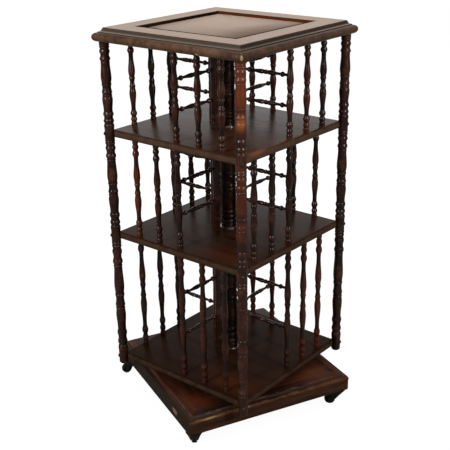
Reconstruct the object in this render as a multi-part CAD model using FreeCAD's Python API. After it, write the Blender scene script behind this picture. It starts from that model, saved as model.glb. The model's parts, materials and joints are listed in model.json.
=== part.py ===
"""Three-tier revolving tower with turned spindles, on a square castor base.

Millimetres, +Z up. The origin is on the floor, on the axis that the tower turns
about. The front of the tower faces -Y. At rest the base stands turned by
base_turn about that axis, as a tower that has been spun on it does.
"""
import FreeCAD
import Part
import math
import os

# Overall
total_height = 1110.0
top_width = 508.0
post_spacing = 460.0
shelf_width = 457.0
shelf_thickness = 21.0
shelf_ease = 4.0
upper_shelf_top = 833.0
middle_shelf_top = 533.0
lower_shelf_top = 141.5

# Top: a bull-nosed board, a moulded frame of four mitred lengths and a sunk panel
top_board_thickness = 23.0
bullnose_radius = 11.3
frame_thickness = 13.0
frame_width = 462.0
frame_foot_width = 482.0
frame_step = 2.5
recess_width = 326.0
recess_depth = 7.0
panel_gap = 0.4

# Turned corner posts, bolted through the clipped shelf corners
post_block_radius = 13.5
post_bead_radius = 14.5
post_groove_radius = 11.0
post_neck_radius = 11.2
post_waist_radius = 10.4
post_sides = 10
post_drop = 13.5
post_end_radius = 10.0
post_end_round = 4.0
bolt_radius = 3.0
bolt_head_radius = 5.5
bolt_head_height = 4.0
bolt_length = 48.0
bolt_sides = 6
hole_clearance = 0.1

# Turned spindles along the faces, and the posts round the column
spindle_line = 210.0
spindle_pitch = post_spacing / 6
spindle_end_radius = 8.8
spindle_neck_radius = 6.2
spindle_belly_radius = 9.6
spindle_waist_radius = 6.3
spindle_sides = 8
inner_post_line = 54.0

# Turned divider rails, from the mid-face spindles to the inner posts
rail_end_radius = 6.0
rail_neck_radius = 3.8
rail_belly_radius = 6.6
rail_sides = 6
rail_levels = (0.345, 0.68)

# Pole, and what turns on it
pole_radius = 11.0
pole_top = 1066.0
pole_foot = 66.0
running_clearance = 0.05
column_radius = 18.5
column_neck_radius = 15.5
column_bore_radius = 11.8
collar_flange_radius = 27.0
collar_flange_thickness = 3.0
collar_bush_radius = 15.0
pivot_plate_width = 70.0
pivot_plate_thickness = 4.0
pivot_boss_radius = 17.5
pivot_boss_length = 30.0
boss_sides = 12

# Base
base_turn = -23.9
base_width = 520.0
base_top = 103.0
base_nosing_bottom = 85.0
base_nosing_tuck = 2.0
base_nosing_top = 96.5
base_cove_width = 502.0
base_cove_fillet = 1.5
base_curve_steps = 3
base_field_width = 488.0
base_corner_radius = 6.0
corner_flats = 3
apron_width = 518.0
apron_bottom = 54.0
apron_thickness = 20.0
corner_block_leg = 62.0
flange_width = 100.0
flange_thickness = 6.0
flange_boss_radius = 19.0
flange_boss_foot = 23.0
flange_boss_top = 117.0
nut_across_flats = 34.0
nut_height = 9.0

# Castors
castor_spacing = 470.0
castor_trail = 22.0
wheel_radius = 16.0
wheel_width = 15.0
wheel_ease = 2.0
wheel_sides = 20
axle_radius = 3.0
axle_length = 27.0
bore_sides = 12
wheel_side_gap = 0.5
wheel_rim_gap = 1.5
pocket_sides = 16
crown_radius = 23.0
crown_sides = 12
crown_bottom = 32.0
cheek_foot_radius = 11.5
cheek_foot = 8.0
king_pin_foot = 38.0
plate_width = 40.0
plate_thickness = 3.0
plate_gap = 0.5
king_pin_radius = 4.0

FACES = ("front", "right", "rear", "left")
CORNERS = ("front_right", "rear_right", "rear_left", "front_left")
# Direction in which each castor trails, in degrees round the tower's axis
CASTOR_HEADINGS = (131.4, 211.5, 215.0, 257.2)

post_flat = post_block_radius * math.cos(math.pi / post_sides)
post_diagonal = math.hypot(post_spacing, post_spacing) / 2
corner_seat = post_diagonal - post_flat
bolt_inner_end = post_diagonal + post_flat - bolt_length
top_board_top = total_height - frame_thickness
top_board_bottom = top_board_top - top_board_thickness
TIERS = {
    "upper": (upper_shelf_top, top_board_bottom, 1),
    "middle": (middle_shelf_top, upper_shelf_top - shelf_thickness, -1),
    "lower": (lower_shelf_top, middle_shelf_top - shelf_thickness, 1),
}

ORIGIN = FreeCAD.Vector(0, 0, 0)
X_AXIS = FreeCAD.Vector(1, 0, 0)
Y_AXIS = FreeCAD.Vector(0, 1, 0)
Z_AXIS = FreeCAD.Vector(0, 0, 1)


def polar(radius, angle, height):
    """Point at a radius and an angle in radians about the axis."""
    return FreeCAD.Vector(radius * math.cos(angle), radius * math.sin(angle), height)


def ring(radius, height, sides):
    """Corners of a regular polygon about the axis, with a flat side towards -Y."""
    step = 2 * math.pi / sides
    first = -math.pi / 2 - step / 2
    return [polar(radius, first + k * step, height) for k in range(sides)]


def square_ring(width, corner_radius, height):
    """Corners of a square about the axis whose corners are rounded in a few flats."""
    corner = width / 2 - corner_radius
    points = []
    for quarter in range(4):
        facing = math.pi * (quarter / 2 - 0.25)
        centre = polar(corner * math.sqrt(2), facing, height)
        for share in range(corner_flats + 1):
            turn = facing + math.pi / 2 * (share / corner_flats - 0.5)
            points.append(centre + polar(corner_radius, turn, 0))
    return points


def flat_face(corners):
    """Plane face with the given corners."""
    loop = list(corners)
    return Part.Face(Part.makePolygon(loop + [loop[0]]))


def stacked(rings):
    """Solid between rings of points, each ring joined to the next by flat faces."""
    faces = [flat_face(reversed(rings[0])), flat_face(rings[-1])]
    count = len(rings[0])
    for below, above in zip(rings, rings[1:]):
        for k in range(count):
            after = (k + 1) % count
            faces.append(flat_face((below[k], below[after], above[after], above[k])))
    return Part.Solid(Part.Shell(faces))


def turned(outline, sides):
    """Turned piece about Z from (radius, height) points, with its round cut to flat sides."""
    return stacked([ring(radius, height, sides) for radius, height in outline])


def moulded(outline, corner_radius, least_radius):
    """Square board about Z from the (width, height) points of its moulded edge."""
    widest = max(width for width, _ in outline)
    rings = []
    for width, height in outline:
        radius = max(corner_radius - (widest - width) / 2, least_radius)
        rings.append(square_ring(width, radius, height))
    return stacked(rings)


def revolved(points):
    """Solid of revolution about Z from a closed outline of (radius, height) points."""
    face = flat_face(FreeCAD.Vector(radius, 0, height) for radius, height in points)
    return face.revolve(ORIGIN, Z_AXIS, 360)


def mirrored_outline(half, bottom, top):
    """Outline between two heights from (radius, share of the length) of its lower half."""
    length = top - bottom
    lower = [(radius, bottom + share * length) for radius, share in half]
    upper = [(radius, top - share * length) for radius, share in reversed(half[:-1])]
    return lower + upper


def cylinder(radius, bottom, top):
    """Upright cylinder on the axis."""
    return Part.makeCylinder(radius, top - bottom, FreeCAD.Vector(0, 0, bottom))


def bore(radius, bottom, top):
    """Upright many-sided hole whose flats clear a round of the given radius."""
    reach = radius / math.cos(math.pi / bore_sides)
    return turned(((reach, bottom), (reach, top)), bore_sides)


def board(width, bottom, top):
    """Square board centred on the axis."""
    return Part.makeBox(width, width, top - bottom, FreeCAD.Vector(-width / 2, -width / 2, bottom))


def rim_edges(shape, height):
    """Edges of a shape that lie at one height."""
    return [
        edge
        for edge in shape.Edges
        if abs(edge.BoundBox.ZMin - height) < 1e-3 and abs(edge.BoundBox.ZMax - height) < 1e-3
    ]


def placed(shape, x, y):
    """Copy of a shape moved in plan."""
    copy = shape.copy()
    copy.translate(FreeCAD.Vector(x, y, 0))
    return copy


def spun(shape, degrees):
    """Copy of a shape turned about the tower's axis."""
    copy = shape.copy()
    copy.rotate(ORIGIN, Z_AXIS, degrees)
    return copy


def quarter_turns(shape):
    """The shape at each of the four sides, starting from where it stands."""
    return [spun(shape, 90 * side) for side in range(4)]


def top_board():
    """Board with a bull nose along all four edges."""
    slab = board(top_width, top_board_bottom, top_board_top)
    rims = rim_edges(slab, top_board_bottom) + rim_edges(slab, top_board_top)
    return slab.makeFillet(bullnose_radius, rims)


def mitre_wedge(reach, bottom, top):
    """Quarter of the plan that faces +X, bounded by the two mitre lines."""
    tip = FreeCAD.Vector(0, 0, bottom)
    right = FreeCAD.Vector(reach, -reach, bottom)
    left = FreeCAD.Vector(reach, reach, bottom)
    return flat_face((tip, right, left)).extrude(FreeCAD.Vector(0, 0, top - bottom))


def top_frame_length():
    """One mitred length of the top frame, with a stepped cove along its outer edge."""
    inner = recess_width / 2
    outer = frame_width / 2
    foot = frame_foot_width / 2
    reach = frame_foot_width

    def at(x, z):
        return FreeCAD.Vector(x, -reach, z)

    step_z = total_height - frame_step
    cove_start = at(outer + frame_step / 2, step_z)
    cove_end = at(foot, top_board_top + frame_step)
    sag = FreeCAD.Vector(-frame_step / 2, 0, -frame_step / 2)
    cove_middle = (cove_start + cove_end) / 2 + sag
    edges = [
        Part.LineSegment(at(inner, top_board_top), at(inner, total_height)).toShape(),
        Part.LineSegment(at(inner, total_height), at(outer, total_height)).toShape(),
        Part.LineSegment(at(outer, total_height), at(outer, step_z)).toShape(),
        Part.LineSegment(at(outer, step_z), cove_start).toShape(),
        Part.Arc(cove_start, cove_middle, cove_end).toShape(),
        Part.LineSegment(cove_end, at(foot, top_board_top)).toShape(),
        Part.LineSegment(at(foot, top_board_top), at(inner, top_board_top)).toShape(),
    ]
    length = Part.Face(Part.Wire(edges)).extrude(FreeCAD.Vector(0, 2 * reach, 0))
    return length.common(mitre_wedge(reach, top_board_top, total_height))


def top_panel():
    """Sunk panel that lies on the top board inside the frame."""
    return board(recess_width - 2 * panel_gap, top_board_top, total_height - recess_depth)


def corner_seat_block(bottom, top):
    """Square turned by 45 degrees whose sides are the four corner seats."""
    return spun(board(2 * corner_seat, bottom, top), 45)


def on_corner(stick, middle):
    """Upright stick laid along the diagonal of the front right corner at a height."""
    laid = stick.copy()
    laid.rotate(ORIGIN, X_AXIS, 90)
    laid.rotate(ORIGIN, Z_AXIS, 45)
    laid.translate(FreeCAD.Vector(0, 0, middle))
    return laid


def corner_drill(middle):
    """Bolt bore through the front right post into the shelf."""
    bore = bolt_radius + hole_clearance
    outline = ((bore, bolt_inner_end), (bore, bolt_inner_end + bolt_length))
    return on_corner(turned(outline, bolt_sides), middle)


def shelf(surface):
    """Shelf with eased edges, clipped corners, bolt holes and the collar's hole."""
    bottom = surface - shelf_thickness
    eased_width = shelf_width - 2 * shelf_ease
    outline = (
        (eased_width, bottom),
        (shelf_width, bottom + shelf_ease),
        (shelf_width, surface - shelf_ease),
        (eased_width, surface),
    )
    slab = moulded(outline, 2 * shelf_ease, shelf_ease).common(corner_seat_block(bottom, surface))
    drill = corner_drill(bottom + shelf_thickness / 2)
    return slab.cut(quarter_turns(drill) + [cylinder(collar_bush_radius, bottom, surface)])


def post_tier(bottom, top):
    """Turning of one tier of a corner post: two beads, a vase each side of the waist, two beads."""
    length = top - bottom
    outline = (
        (post_block_radius, 0.03),
        (post_groove_radius, 0.07),
        (post_bead_radius, 0.11),
        (post_groove_radius, 0.15),
        (post_bead_radius, 0.19),
        (post_neck_radius, 0.23),
        (post_bead_radius, 0.36),
        (post_waist_radius, 0.49),
        (post_bead_radius, 0.6),
        (post_neck_radius, 0.77),
        (post_bead_radius, 0.81),
        (post_groove_radius, 0.85),
        (post_bead_radius, 0.89),
        (post_block_radius, 0.93),
    )
    return [(radius, bottom + share * length) for radius, share in outline]


def corner_post():
    """Full-height post of the front right corner, with its shelf seats and bolt bores."""
    foot = lower_shelf_top - shelf_thickness - post_drop
    outline = [(post_end_radius, foot), (post_block_radius, foot + post_end_round)]
    for tier in ("lower", "middle", "upper"):
        bottom, top, _ = TIERS[tier]
        outline += post_tier(bottom, top)
    outline.append((post_block_radius, top_board_bottom))
    post = placed(spun(turned(outline, post_sides), 45), post_spacing / 2, -post_spacing / 2)
    return post.cut([corner_drill(surface - shelf_thickness / 2) for surface, _, _ in TIERS.values()])


def post_bolt(middle):
    """Round-headed bolt of the front right corner at one shelf."""
    outside = bolt_inner_end + bolt_length
    outline = (
        (bolt_radius, bolt_inner_end),
        (bolt_radius, outside),
        (bolt_head_radius, outside),
        (bolt_head_radius / 2, outside + bolt_head_height),
    )
    return on_corner(turned(outline, bolt_sides), middle)


def post_bolts():
    """Bolts of all four corners at all three shelves."""
    bolts = []
    for surface, _, _ in TIERS.values():
        bolts += quarter_turns(post_bolt(surface - shelf_thickness / 2))
    return Part.Compound(bolts)


def spindle(bottom, top):
    """Turned spindle on the axis: two vases that swell towards a waist, and flared ends."""
    half = (
        (spindle_end_radius, 0.0),
        (spindle_neck_radius, 0.21),
        (spindle_belly_radius, 0.38),
        (spindle_waist_radius, 0.5),
    )
    return turned(mirrored_outline(half, bottom, top), spindle_sides)


def face_spindles(tier, side):
    """Three spindles that close half of one face; the other half stays open."""
    bottom, top, handed = TIERS[tier]
    stick = spindle(bottom, top)
    row = [placed(stick, handed * place * spindle_pitch, -spindle_line) for place in range(3)]
    return spun(Part.Compound(row), 90 * side)


def inner_posts(tier):
    """Four turned posts round the column, one on each divider line."""
    bottom, top, _ = TIERS[tier]
    return Part.Compound(quarter_turns(placed(spindle(bottom, top), 0, -inner_post_line)))


def divider_rail(tier, level):
    """Turned rail of the front divider, scribed to the spindle and to the inner post."""
    bottom, top, _ = TIERS[tier]
    half = (
        (rail_end_radius, 0.0),
        (rail_neck_radius, 0.15),
        (rail_belly_radius, 0.5),
    )
    rail = turned(mirrored_outline(half, inner_post_line, spindle_line), rail_sides)
    rail.rotate(ORIGIN, X_AXIS, 90)
    rail.translate(FreeCAD.Vector(0, 0, bottom + level * (top - bottom)))
    stick = spindle(bottom, top)
    return rail.cut([placed(stick, 0, -spindle_line), placed(stick, 0, -inner_post_line)])


def divider_rails(tier):
    """All rails of one tier, two to each of its four dividers."""
    rails = []
    for level in rail_levels:
        rails += quarter_turns(divider_rail(tier, level))
    return Part.Compound(rails)


def column_sleeve(tier):
    """Turned wooden sleeve round the pole, standing on the shelf's collar."""
    surface, top, _ = TIERS[tier]
    bottom = surface + collar_flange_thickness
    if tier == "upper":
        top = top_board_bottom - pivot_boss_length
    half = (
        (column_radius, 0.0),
        (column_neck_radius, 0.15),
        (column_radius, 0.42),
        (column_neck_radius, 0.5),
    )
    stick = turned(mirrored_outline(half, bottom, top), spindle_sides)
    return stick.cut(bore(column_bore_radius, bottom, top))


def shelf_collar(surface):
    """Flanged bush that guides a shelf on the pole."""
    inside = pole_radius + running_clearance
    return revolved((
        (inside, surface - shelf_thickness),
        (collar_bush_radius, surface - shelf_thickness),
        (collar_bush_radius, surface),
        (collar_flange_radius, surface),
        (collar_flange_radius, surface + collar_flange_thickness),
        (inside, surface + collar_flange_thickness),
    ))


def shelf_collars():
    """One collar to each shelf."""
    return Part.Compound([shelf_collar(surface) for surface, _, _ in TIERS.values()])


def pivot_cup():
    """Square plate and socket under the top board that hang the tower on the pole's tip."""
    mouth = top_board_bottom - pivot_boss_length
    plate_bottom = top_board_bottom - pivot_plate_thickness
    plate = board(pivot_plate_width, plate_bottom, top_board_bottom)
    boss = turned(((pivot_boss_radius, mouth), (pivot_boss_radius, plate_bottom)), boss_sides)
    socket = cylinder(pole_radius + running_clearance, mouth, pole_top + running_clearance)
    return plate.fuse(boss).cut(socket)


def pole():
    """Fixed pole whose tip carries the tower."""
    return cylinder(pole_radius, pole_foot, pole_top)


def pole_flange():
    """Cast square flange with a tapered boss that holds the pole upright on the base."""
    plate_top = base_top + flange_thickness
    plate = board(flange_width, base_top, plate_top)
    boss = turned(((flange_boss_foot, plate_top), (flange_boss_radius, flange_boss_top)), boss_sides)
    return plate.fuse(boss).cut(bore(pole_radius, base_top, flange_boss_top))


def pole_nut():
    """Hexagon nut that draws the pole down under the base board."""
    bottom = base_nosing_bottom - nut_height
    hexagon = flat_face(ring(nut_across_flats / math.sqrt(3), bottom, 6))
    prism = hexagon.extrude(FreeCAD.Vector(0, 0, nut_height))
    return prism.cut(bore(pole_radius, bottom, base_nosing_bottom))


def base_board():
    """Base board with a rounded nosing and a cove that rises to a flat field."""
    tucked = base_width - 2 * base_nosing_tuck
    nosing_foot = base_nosing_bottom + base_nosing_tuck
    nosing_reach = base_width - base_cove_width - 2 * base_cove_fillet
    outline = [(tucked, base_nosing_bottom)]
    for step in range(base_curve_steps + 1):
        angle = math.pi / 2 * step / base_curve_steps
        width = base_width - nosing_reach * (1 - math.cos(angle))
        outline.append((width, nosing_foot + (base_nosing_top - nosing_foot) * math.sin(angle)))
    for step in range(base_curve_steps + 1):
        angle = math.pi / 2 * (1 - step / base_curve_steps)
        width = base_cove_width - (base_cove_width - base_field_width) * math.cos(angle)
        outline.append((width, base_top - (base_top - base_nosing_top) * math.sin(angle)))
    slab = moulded(outline, base_corner_radius, base_corner_radius)
    return slab.cut(bore(pole_radius, base_nosing_bottom, base_top))


def apron_length():
    """One mitred length of the apron under the base board."""
    outline = ((apron_width, apron_bottom), (apron_width, base_nosing_bottom))
    inner = board(apron_width - 2 * apron_thickness, apron_bottom, base_nosing_bottom)
    hollow = moulded(outline, base_corner_radius, base_corner_radius).cut(inner)
    return hollow.common(mitre_wedge(apron_width, apron_bottom, base_nosing_bottom))


def corner_block():
    """Glued block in the front right corner of the apron."""
    inside = apron_width / 2 - apron_thickness
    corner = FreeCAD.Vector(inside, -inside, apron_bottom)
    along_x = corner - X_AXIS * corner_block_leg
    along_y = corner + Y_AXIS * corner_block_leg
    triangle = flat_face((corner, along_y, along_x))
    return triangle.extrude(FreeCAD.Vector(0, 0, base_nosing_bottom - apron_bottom))


def castor_plate():
    """Fixed plate and king pin, on the axis."""
    bottom = apron_bottom - plate_thickness
    return board(plate_width, bottom, apron_bottom).fuse(cylinder(king_pin_radius, king_pin_foot, bottom))


def at_axle(shape):
    """Shape made upright about the axis, laid along the castor's axle."""
    laid = shape.copy()
    laid.rotate(ORIGIN, X_AXIS, 90)
    laid.translate(FreeCAD.Vector(castor_trail, 0, wheel_radius))
    return laid


def castor_fork():
    """Swivelling crown that narrows to the axle and straddles the wheel, trailing towards +X."""
    top = apron_bottom - plate_thickness - plate_gap
    feet = [corner + X_AXIS * castor_trail for corner in ring(cheek_foot_radius, cheek_foot, crown_sides)]
    rims = [ring(crown_radius, height, crown_sides) for height in (crown_bottom, top)]
    horn = stacked([feet, *rims])
    inside = wheel_width / 2 + wheel_side_gap
    clear = (wheel_radius + wheel_rim_gap) / math.cos(math.pi / pocket_sides)
    pocket = at_axle(turned(((clear, -inside), (clear, inside)), pocket_sides))
    eye = at_axle(bore(axle_radius, -crown_radius, crown_radius))
    socket = bore(king_pin_radius + running_clearance, king_pin_foot - plate_gap, top)
    return horn.cut([pocket, eye, socket])


def castor_axle():
    """Axle pin, held in both cheeks."""
    return at_axle(cylinder(axle_radius, -axle_length / 2, axle_length / 2))


def castor_wheel():
    """Wheel with an eased tread and a bore that runs on the axle."""
    half = wheel_width / 2
    tread = wheel_radius / math.cos(math.pi / wheel_sides)
    outline = (
        (tread - wheel_ease, -half),
        (tread, wheel_ease - half),
        (tread, half - wheel_ease),
        (tread - wheel_ease, half),
    )
    return at_axle(turned(outline, wheel_sides).cut(bore(axle_radius + running_clearance, -half, half)))


def at_castor(shape, corner, heading):
    """Shape turned to a heading and set on one castor's swivel axis."""
    axis = polar(castor_spacing / math.sqrt(2), math.radians(90 * corner + base_turn - 45), 0)
    return placed(spun(shape, heading), axis.x, axis.y)


def tower_nodes():
    """Pieces that turn on the pole."""
    nodes = {
        "top_board": top_board(),
        "top_frame": Part.Compound(quarter_turns(top_frame_length())),
        "top_panel": top_panel(),
        "pivot_cup": pivot_cup(),
        "shelf_collars": shelf_collars(),
        "post_bolts": post_bolts(),
    }
    post = corner_post()
    for turn, corner in enumerate(CORNERS):
        nodes[f"corner_post_{corner}"] = spun(post, 90 * turn)
    for tier, (surface, _, _) in TIERS.items():
        nodes[f"shelf_{tier}"] = shelf(surface)
        nodes[f"column_sleeve_{tier}"] = column_sleeve(tier)
        nodes[f"inner_posts_{tier}"] = inner_posts(tier)
        nodes[f"divider_rails_{tier}"] = divider_rails(tier)
        for side, face in enumerate(FACES):
            nodes[f"spindles_{tier}_{face}"] = face_spindles(tier, side)
    return nodes


def base_nodes():
    """Pieces that stand still while the tower turns."""
    square_on = {
        "base_board": base_board(),
        "base_apron": Part.Compound(quarter_turns(apron_length())),
        "corner_blocks": Part.Compound(quarter_turns(corner_block())),
        "pole": pole(),
        "pole_flange": pole_flange(),
        "pole_nut": pole_nut(),
    }
    nodes = {name: spun(shape, base_turn) for name, shape in square_on.items()}
    plates = [at_castor(castor_plate(), corner, base_turn) for corner in range(4)]
    nodes["castor_plates"] = Part.Compound(plates)
    return nodes


def castor_nodes():
    """Fork, axle and wheel of each castor."""
    nodes = {}
    for corner, (name, heading) in enumerate(zip(CORNERS, CASTOR_HEADINGS)):
        nodes[f"castor_fork_{name}"] = at_castor(castor_fork(), corner, heading)
        nodes[f"castor_axle_{name}"] = at_castor(castor_axle(), corner, heading)
        nodes[f"castor_wheel_{name}"] = at_castor(castor_wheel(), corner, heading)
    return nodes


def main():
    """Build every node and write it to its own file."""
    os.makedirs("parts", exist_ok=True)
    for name, shape in {**tower_nodes(), **base_nodes(), **castor_nodes()}.items():
        shape.exportStep(f"parts/{name}.step")
        print(name, len(shape.Solids), "solids", round(shape.Volume / 1000, 1), "cm3")


main()
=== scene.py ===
"""Dresses the revolving media tower: turned and moulded wood, metal fittings, studio and camera.

Metres, +Z up, in the frame of the solids: the tower's faces look along the X and Y axes, and the
base under it stands turned about the pole.
"""

import json
import logging
import math
import random
from dataclasses import dataclass, field, replace
from enum import Enum
from typing import Callable, Iterable, Sequence

import bpy
from mathutils import Matrix, Vector


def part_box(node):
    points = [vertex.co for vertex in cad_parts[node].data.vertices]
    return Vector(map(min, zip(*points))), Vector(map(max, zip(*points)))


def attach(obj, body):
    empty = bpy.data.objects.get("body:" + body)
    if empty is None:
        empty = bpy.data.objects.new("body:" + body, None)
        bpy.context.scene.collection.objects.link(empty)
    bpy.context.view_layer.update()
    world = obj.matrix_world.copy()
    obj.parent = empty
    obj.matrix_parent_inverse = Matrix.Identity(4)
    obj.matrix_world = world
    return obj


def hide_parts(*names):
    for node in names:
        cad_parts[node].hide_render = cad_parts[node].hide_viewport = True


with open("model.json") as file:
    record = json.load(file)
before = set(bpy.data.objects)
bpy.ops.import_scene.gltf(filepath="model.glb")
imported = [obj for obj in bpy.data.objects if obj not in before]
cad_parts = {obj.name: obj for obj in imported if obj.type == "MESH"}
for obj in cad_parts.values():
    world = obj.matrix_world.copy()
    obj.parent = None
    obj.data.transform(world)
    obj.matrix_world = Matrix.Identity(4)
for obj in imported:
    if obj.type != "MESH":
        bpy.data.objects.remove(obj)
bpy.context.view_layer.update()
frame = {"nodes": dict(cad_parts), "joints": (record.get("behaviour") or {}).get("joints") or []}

log = logging.getLogger("tower")

MM = 0.001
FULL_TURN = 2 * math.pi
QUARTER_TURN = math.pi / 2
TIERS = ("upper", "middle", "lower")
FACES = ("front", "right", "rear", "left")
CORNERS = ("front_right", "rear_right", "rear_left", "front_left")

# Angles in degrees above which an edge stays sharp
BOARD_SHARP = 32
STICK_SHARP = 38
# Flats round a bored hole, and steps round the corner of a board
HOLE_SIDES = 32
CORNER_STEPS = 6
# Height left open at the foot of an inner wall until its rims are joined
SEAM = 0.1 * MM

Colour = tuple[float, float, float]
Point = tuple[float, float, float]
Ring = tuple[float, float]
Socket = bpy.types.NodeSocket


class Cut(Enum):
    """How a turner's tool shapes one stretch of a stick."""

    LEVEL = "straight run at one radius"
    SWEEP = "smooth swell or taper to the next radius"
    BEAD = "half-round bead that returns to the radius it left"


@dataclass(frozen=True)
class Stroke:
    """One stretch of turning.

    Attributes:
        cut: Kind of shape.
        share: Part of the stick's length that it takes.
        radius: Radius at its end, or at the crown of a bead, in millimetres.
    """

    cut: Cut
    share: float
    radius: float


SEGMENTS = {Cut.LEVEL: 1, Cut.SWEEP: 7, Cut.BEAD: 6}
# Share of a level stretch in which the stick steps to its radius
STEP_SHARE = 0.04


@dataclass(frozen=True)
class Turning:
    """Outline of a turned stick, from its foot to its head.

    Attributes:
        strokes: Stretches of turning in order, whose shares add up to the length or to half of it.
        start_radius: Radius at the foot, in millimetres.
        mirrored: Whether the strokes are the lower half, to be repeated upside down.
    """

    strokes: tuple[Stroke, ...]
    start_radius: float
    mirrored: bool = False

    def rings(self, bottom: float, top: float) -> list[Ring]:
        """Works out the rings of the stick between two heights.

        Args:
            bottom: Height of the foot.
            top: Height of the head.

        Returns:
            Radius and height of each ring, upwards.
        """
        length = top - bottom
        radius = self.start_radius * MM
        height = bottom
        made = [(radius, height)]
        for stroke in self.strokes:
            goal = stroke.radius * MM
            span = stroke.share * length
            if stroke.cut is Cut.LEVEL and goal != radius:
                made.append((goal, height + span * STEP_SHARE))
            steps = SEGMENTS[stroke.cut]
            for step in range(1, steps + 1):
                share = step / steps
                made.append((self._radius(stroke.cut, radius, goal, share), height + span * share))
            height += span
            if stroke.cut is not Cut.BEAD:
                radius = goal
        if self.mirrored:
            made += [(r, bottom + top - z) for r, z in reversed(made[:-1])]
        return made

    def stouter(self, radius: float, share: float) -> "Turning":
        """The same turning with its necks filled out.

        Args:
            radius: Radius that all the strokes move towards, in millimetres.
            share: How far they move.

        Returns:
            The stouter turning.
        """
        moved = [stroke.radius + (radius - stroke.radius) * share for stroke in self.strokes]
        strokes = tuple(replace(stroke, radius=goal) for stroke, goal in zip(self.strokes, moved))
        return replace(self, strokes=strokes)

    @staticmethod
    def _radius(cut: Cut, before: float, goal: float, share: float) -> float:
        """Radius part of the way along one stroke.

        Args:
            cut: Kind of shape.
            before: Radius where the stroke starts.
            goal: Radius at its end, or at the crown of a bead.
            share: How far along the stroke.

        Returns:
            The radius there.
        """
        if cut is Cut.LEVEL:
            return goal
        if cut is Cut.SWEEP:
            return before + (goal - before) * (1 - math.cos(math.pi * share)) / 2
        return before + (goal - before) * math.sin(math.pi * share)


SPINDLE_TURNING = Turning(
    start_radius=8.2,
    mirrored=True,
    strokes=(
        Stroke(Cut.LEVEL, 0.030, 8.2),
        Stroke(Cut.SWEEP, 0.014, 6.8),
        Stroke(Cut.BEAD, 0.050, 8.9),
        Stroke(Cut.SWEEP, 0.012, 6.5),
        Stroke(Cut.BEAD, 0.066, 9.5),
        Stroke(Cut.SWEEP, 0.038, 6.2),
        Stroke(Cut.SWEEP, 0.165, 9.6),
        Stroke(Cut.SWEEP, 0.066, 7.5),
        Stroke(Cut.BEAD, 0.024, 8.7),
        Stroke(Cut.SWEEP, 0.035, 6.2),
    ),
)

POST_TIER_STROKES = (
    Stroke(Cut.LEVEL, 0.022, 13.5),
    Stroke(Cut.BEAD, 0.044, 14.4),
    Stroke(Cut.SWEEP, 0.010, 12.1),
    Stroke(Cut.SWEEP, 0.006, 12.3),
    Stroke(Cut.BEAD, 0.048, 14.4),
    Stroke(Cut.SWEEP, 0.012, 12.1),
    Stroke(Cut.SWEEP, 0.016, 12.3),
    Stroke(Cut.BEAD, 0.054, 14.5),
    Stroke(Cut.SWEEP, 0.014, 12.1),
    Stroke(Cut.SWEEP, 0.128, 14.5),
    Stroke(Cut.SWEEP, 0.044, 13.0),
    Stroke(Cut.BEAD, 0.012, 14.0),
    Stroke(Cut.LEVEL, 0.006, 12.6),
    Stroke(Cut.BEAD, 0.042, 14.2),
    Stroke(Cut.SWEEP, 0.030, 11.9),
    Stroke(Cut.SWEEP, 0.028, 12.8),
    Stroke(Cut.BEAD, 0.014, 14.0),
    Stroke(Cut.SWEEP, 0.068, 14.6),
    Stroke(Cut.SWEEP, 0.166, 12.1),
    Stroke(Cut.BEAD, 0.014, 13.0),
    Stroke(Cut.LEVEL, 0.006, 12.0),
    Stroke(Cut.BEAD, 0.052, 14.5),
    Stroke(Cut.SWEEP, 0.016, 11.8),
    Stroke(Cut.SWEEP, 0.014, 12.2),
    Stroke(Cut.BEAD, 0.050, 14.2),
    Stroke(Cut.SWEEP, 0.014, 12.6),
    Stroke(Cut.BEAD, 0.020, 14.0),
    Stroke(Cut.LEVEL, 0.004, 12.8),
    Stroke(Cut.BEAD, 0.020, 14.0),
    Stroke(Cut.LEVEL, 0.026, 13.6),
)

RAIL_TURNING = Turning(
    start_radius=3.9,
    mirrored=True,
    strokes=(
        Stroke(Cut.LEVEL, 0.085, 3.9),
        Stroke(Cut.BEAD, 0.085, 7.2),
        Stroke(Cut.SWEEP, 0.030, 3.7),
        Stroke(Cut.SWEEP, 0.215, 6.4),
        Stroke(Cut.SWEEP, 0.060, 4.6),
        Stroke(Cut.BEAD, 0.025, 6.3),
    ),
)

COLUMN_TURNING = Turning(
    start_radius=21.5,
    mirrored=True,
    strokes=(
        Stroke(Cut.LEVEL, 0.030, 21.5),
        Stroke(Cut.SWEEP, 0.012, 19.6),
        Stroke(Cut.BEAD, 0.042, 22.6),
        Stroke(Cut.LEVEL, 0.010, 19.6),
        Stroke(Cut.BEAD, 0.042, 22.6),
        Stroke(Cut.LEVEL, 0.010, 19.6),
        Stroke(Cut.BEAD, 0.042, 22.6),
        Stroke(Cut.SWEEP, 0.030, 20.2),
        Stroke(Cut.SWEEP, 0.190, 22.6),
        Stroke(Cut.SWEEP, 0.030, 20.6),
        Stroke(Cut.BEAD, 0.030, 22.4),
        Stroke(Cut.SWEEP, 0.032, 20.4),
    ),
)


def quarter_arc(steps: int) -> list[tuple[float, float]]:
    """Sine and cosine at even steps over a quarter turn, both ends included."""
    angles = [QUARTER_TURN * step / steps for step in range(steps + 1)]
    return [(math.sin(angle), math.cos(angle)) for angle in angles]


def deselect_all() -> None:
    """Leaves nothing selected in the scene."""
    bpy.ops.object.select_all(action="DESELECT")


def stack_rings(rings: Sequence[Ring]) -> None:
    """Extrudes the selected flat face through rings, scaling it in plan to each.

    Args:
        rings: Half width or radius, and height, of each ring; the face starts on the first.
    """
    for (before, low), (after, high) in zip(rings, rings[1:]):
        bpy.ops.mesh.extrude_region_move(TRANSFORM_OT_translate={"value": (0, 0, high - low)})
        ratio = after / before
        bpy.ops.transform.resize(value=(ratio, ratio, 1), center_override=(0, 0, high))


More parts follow.
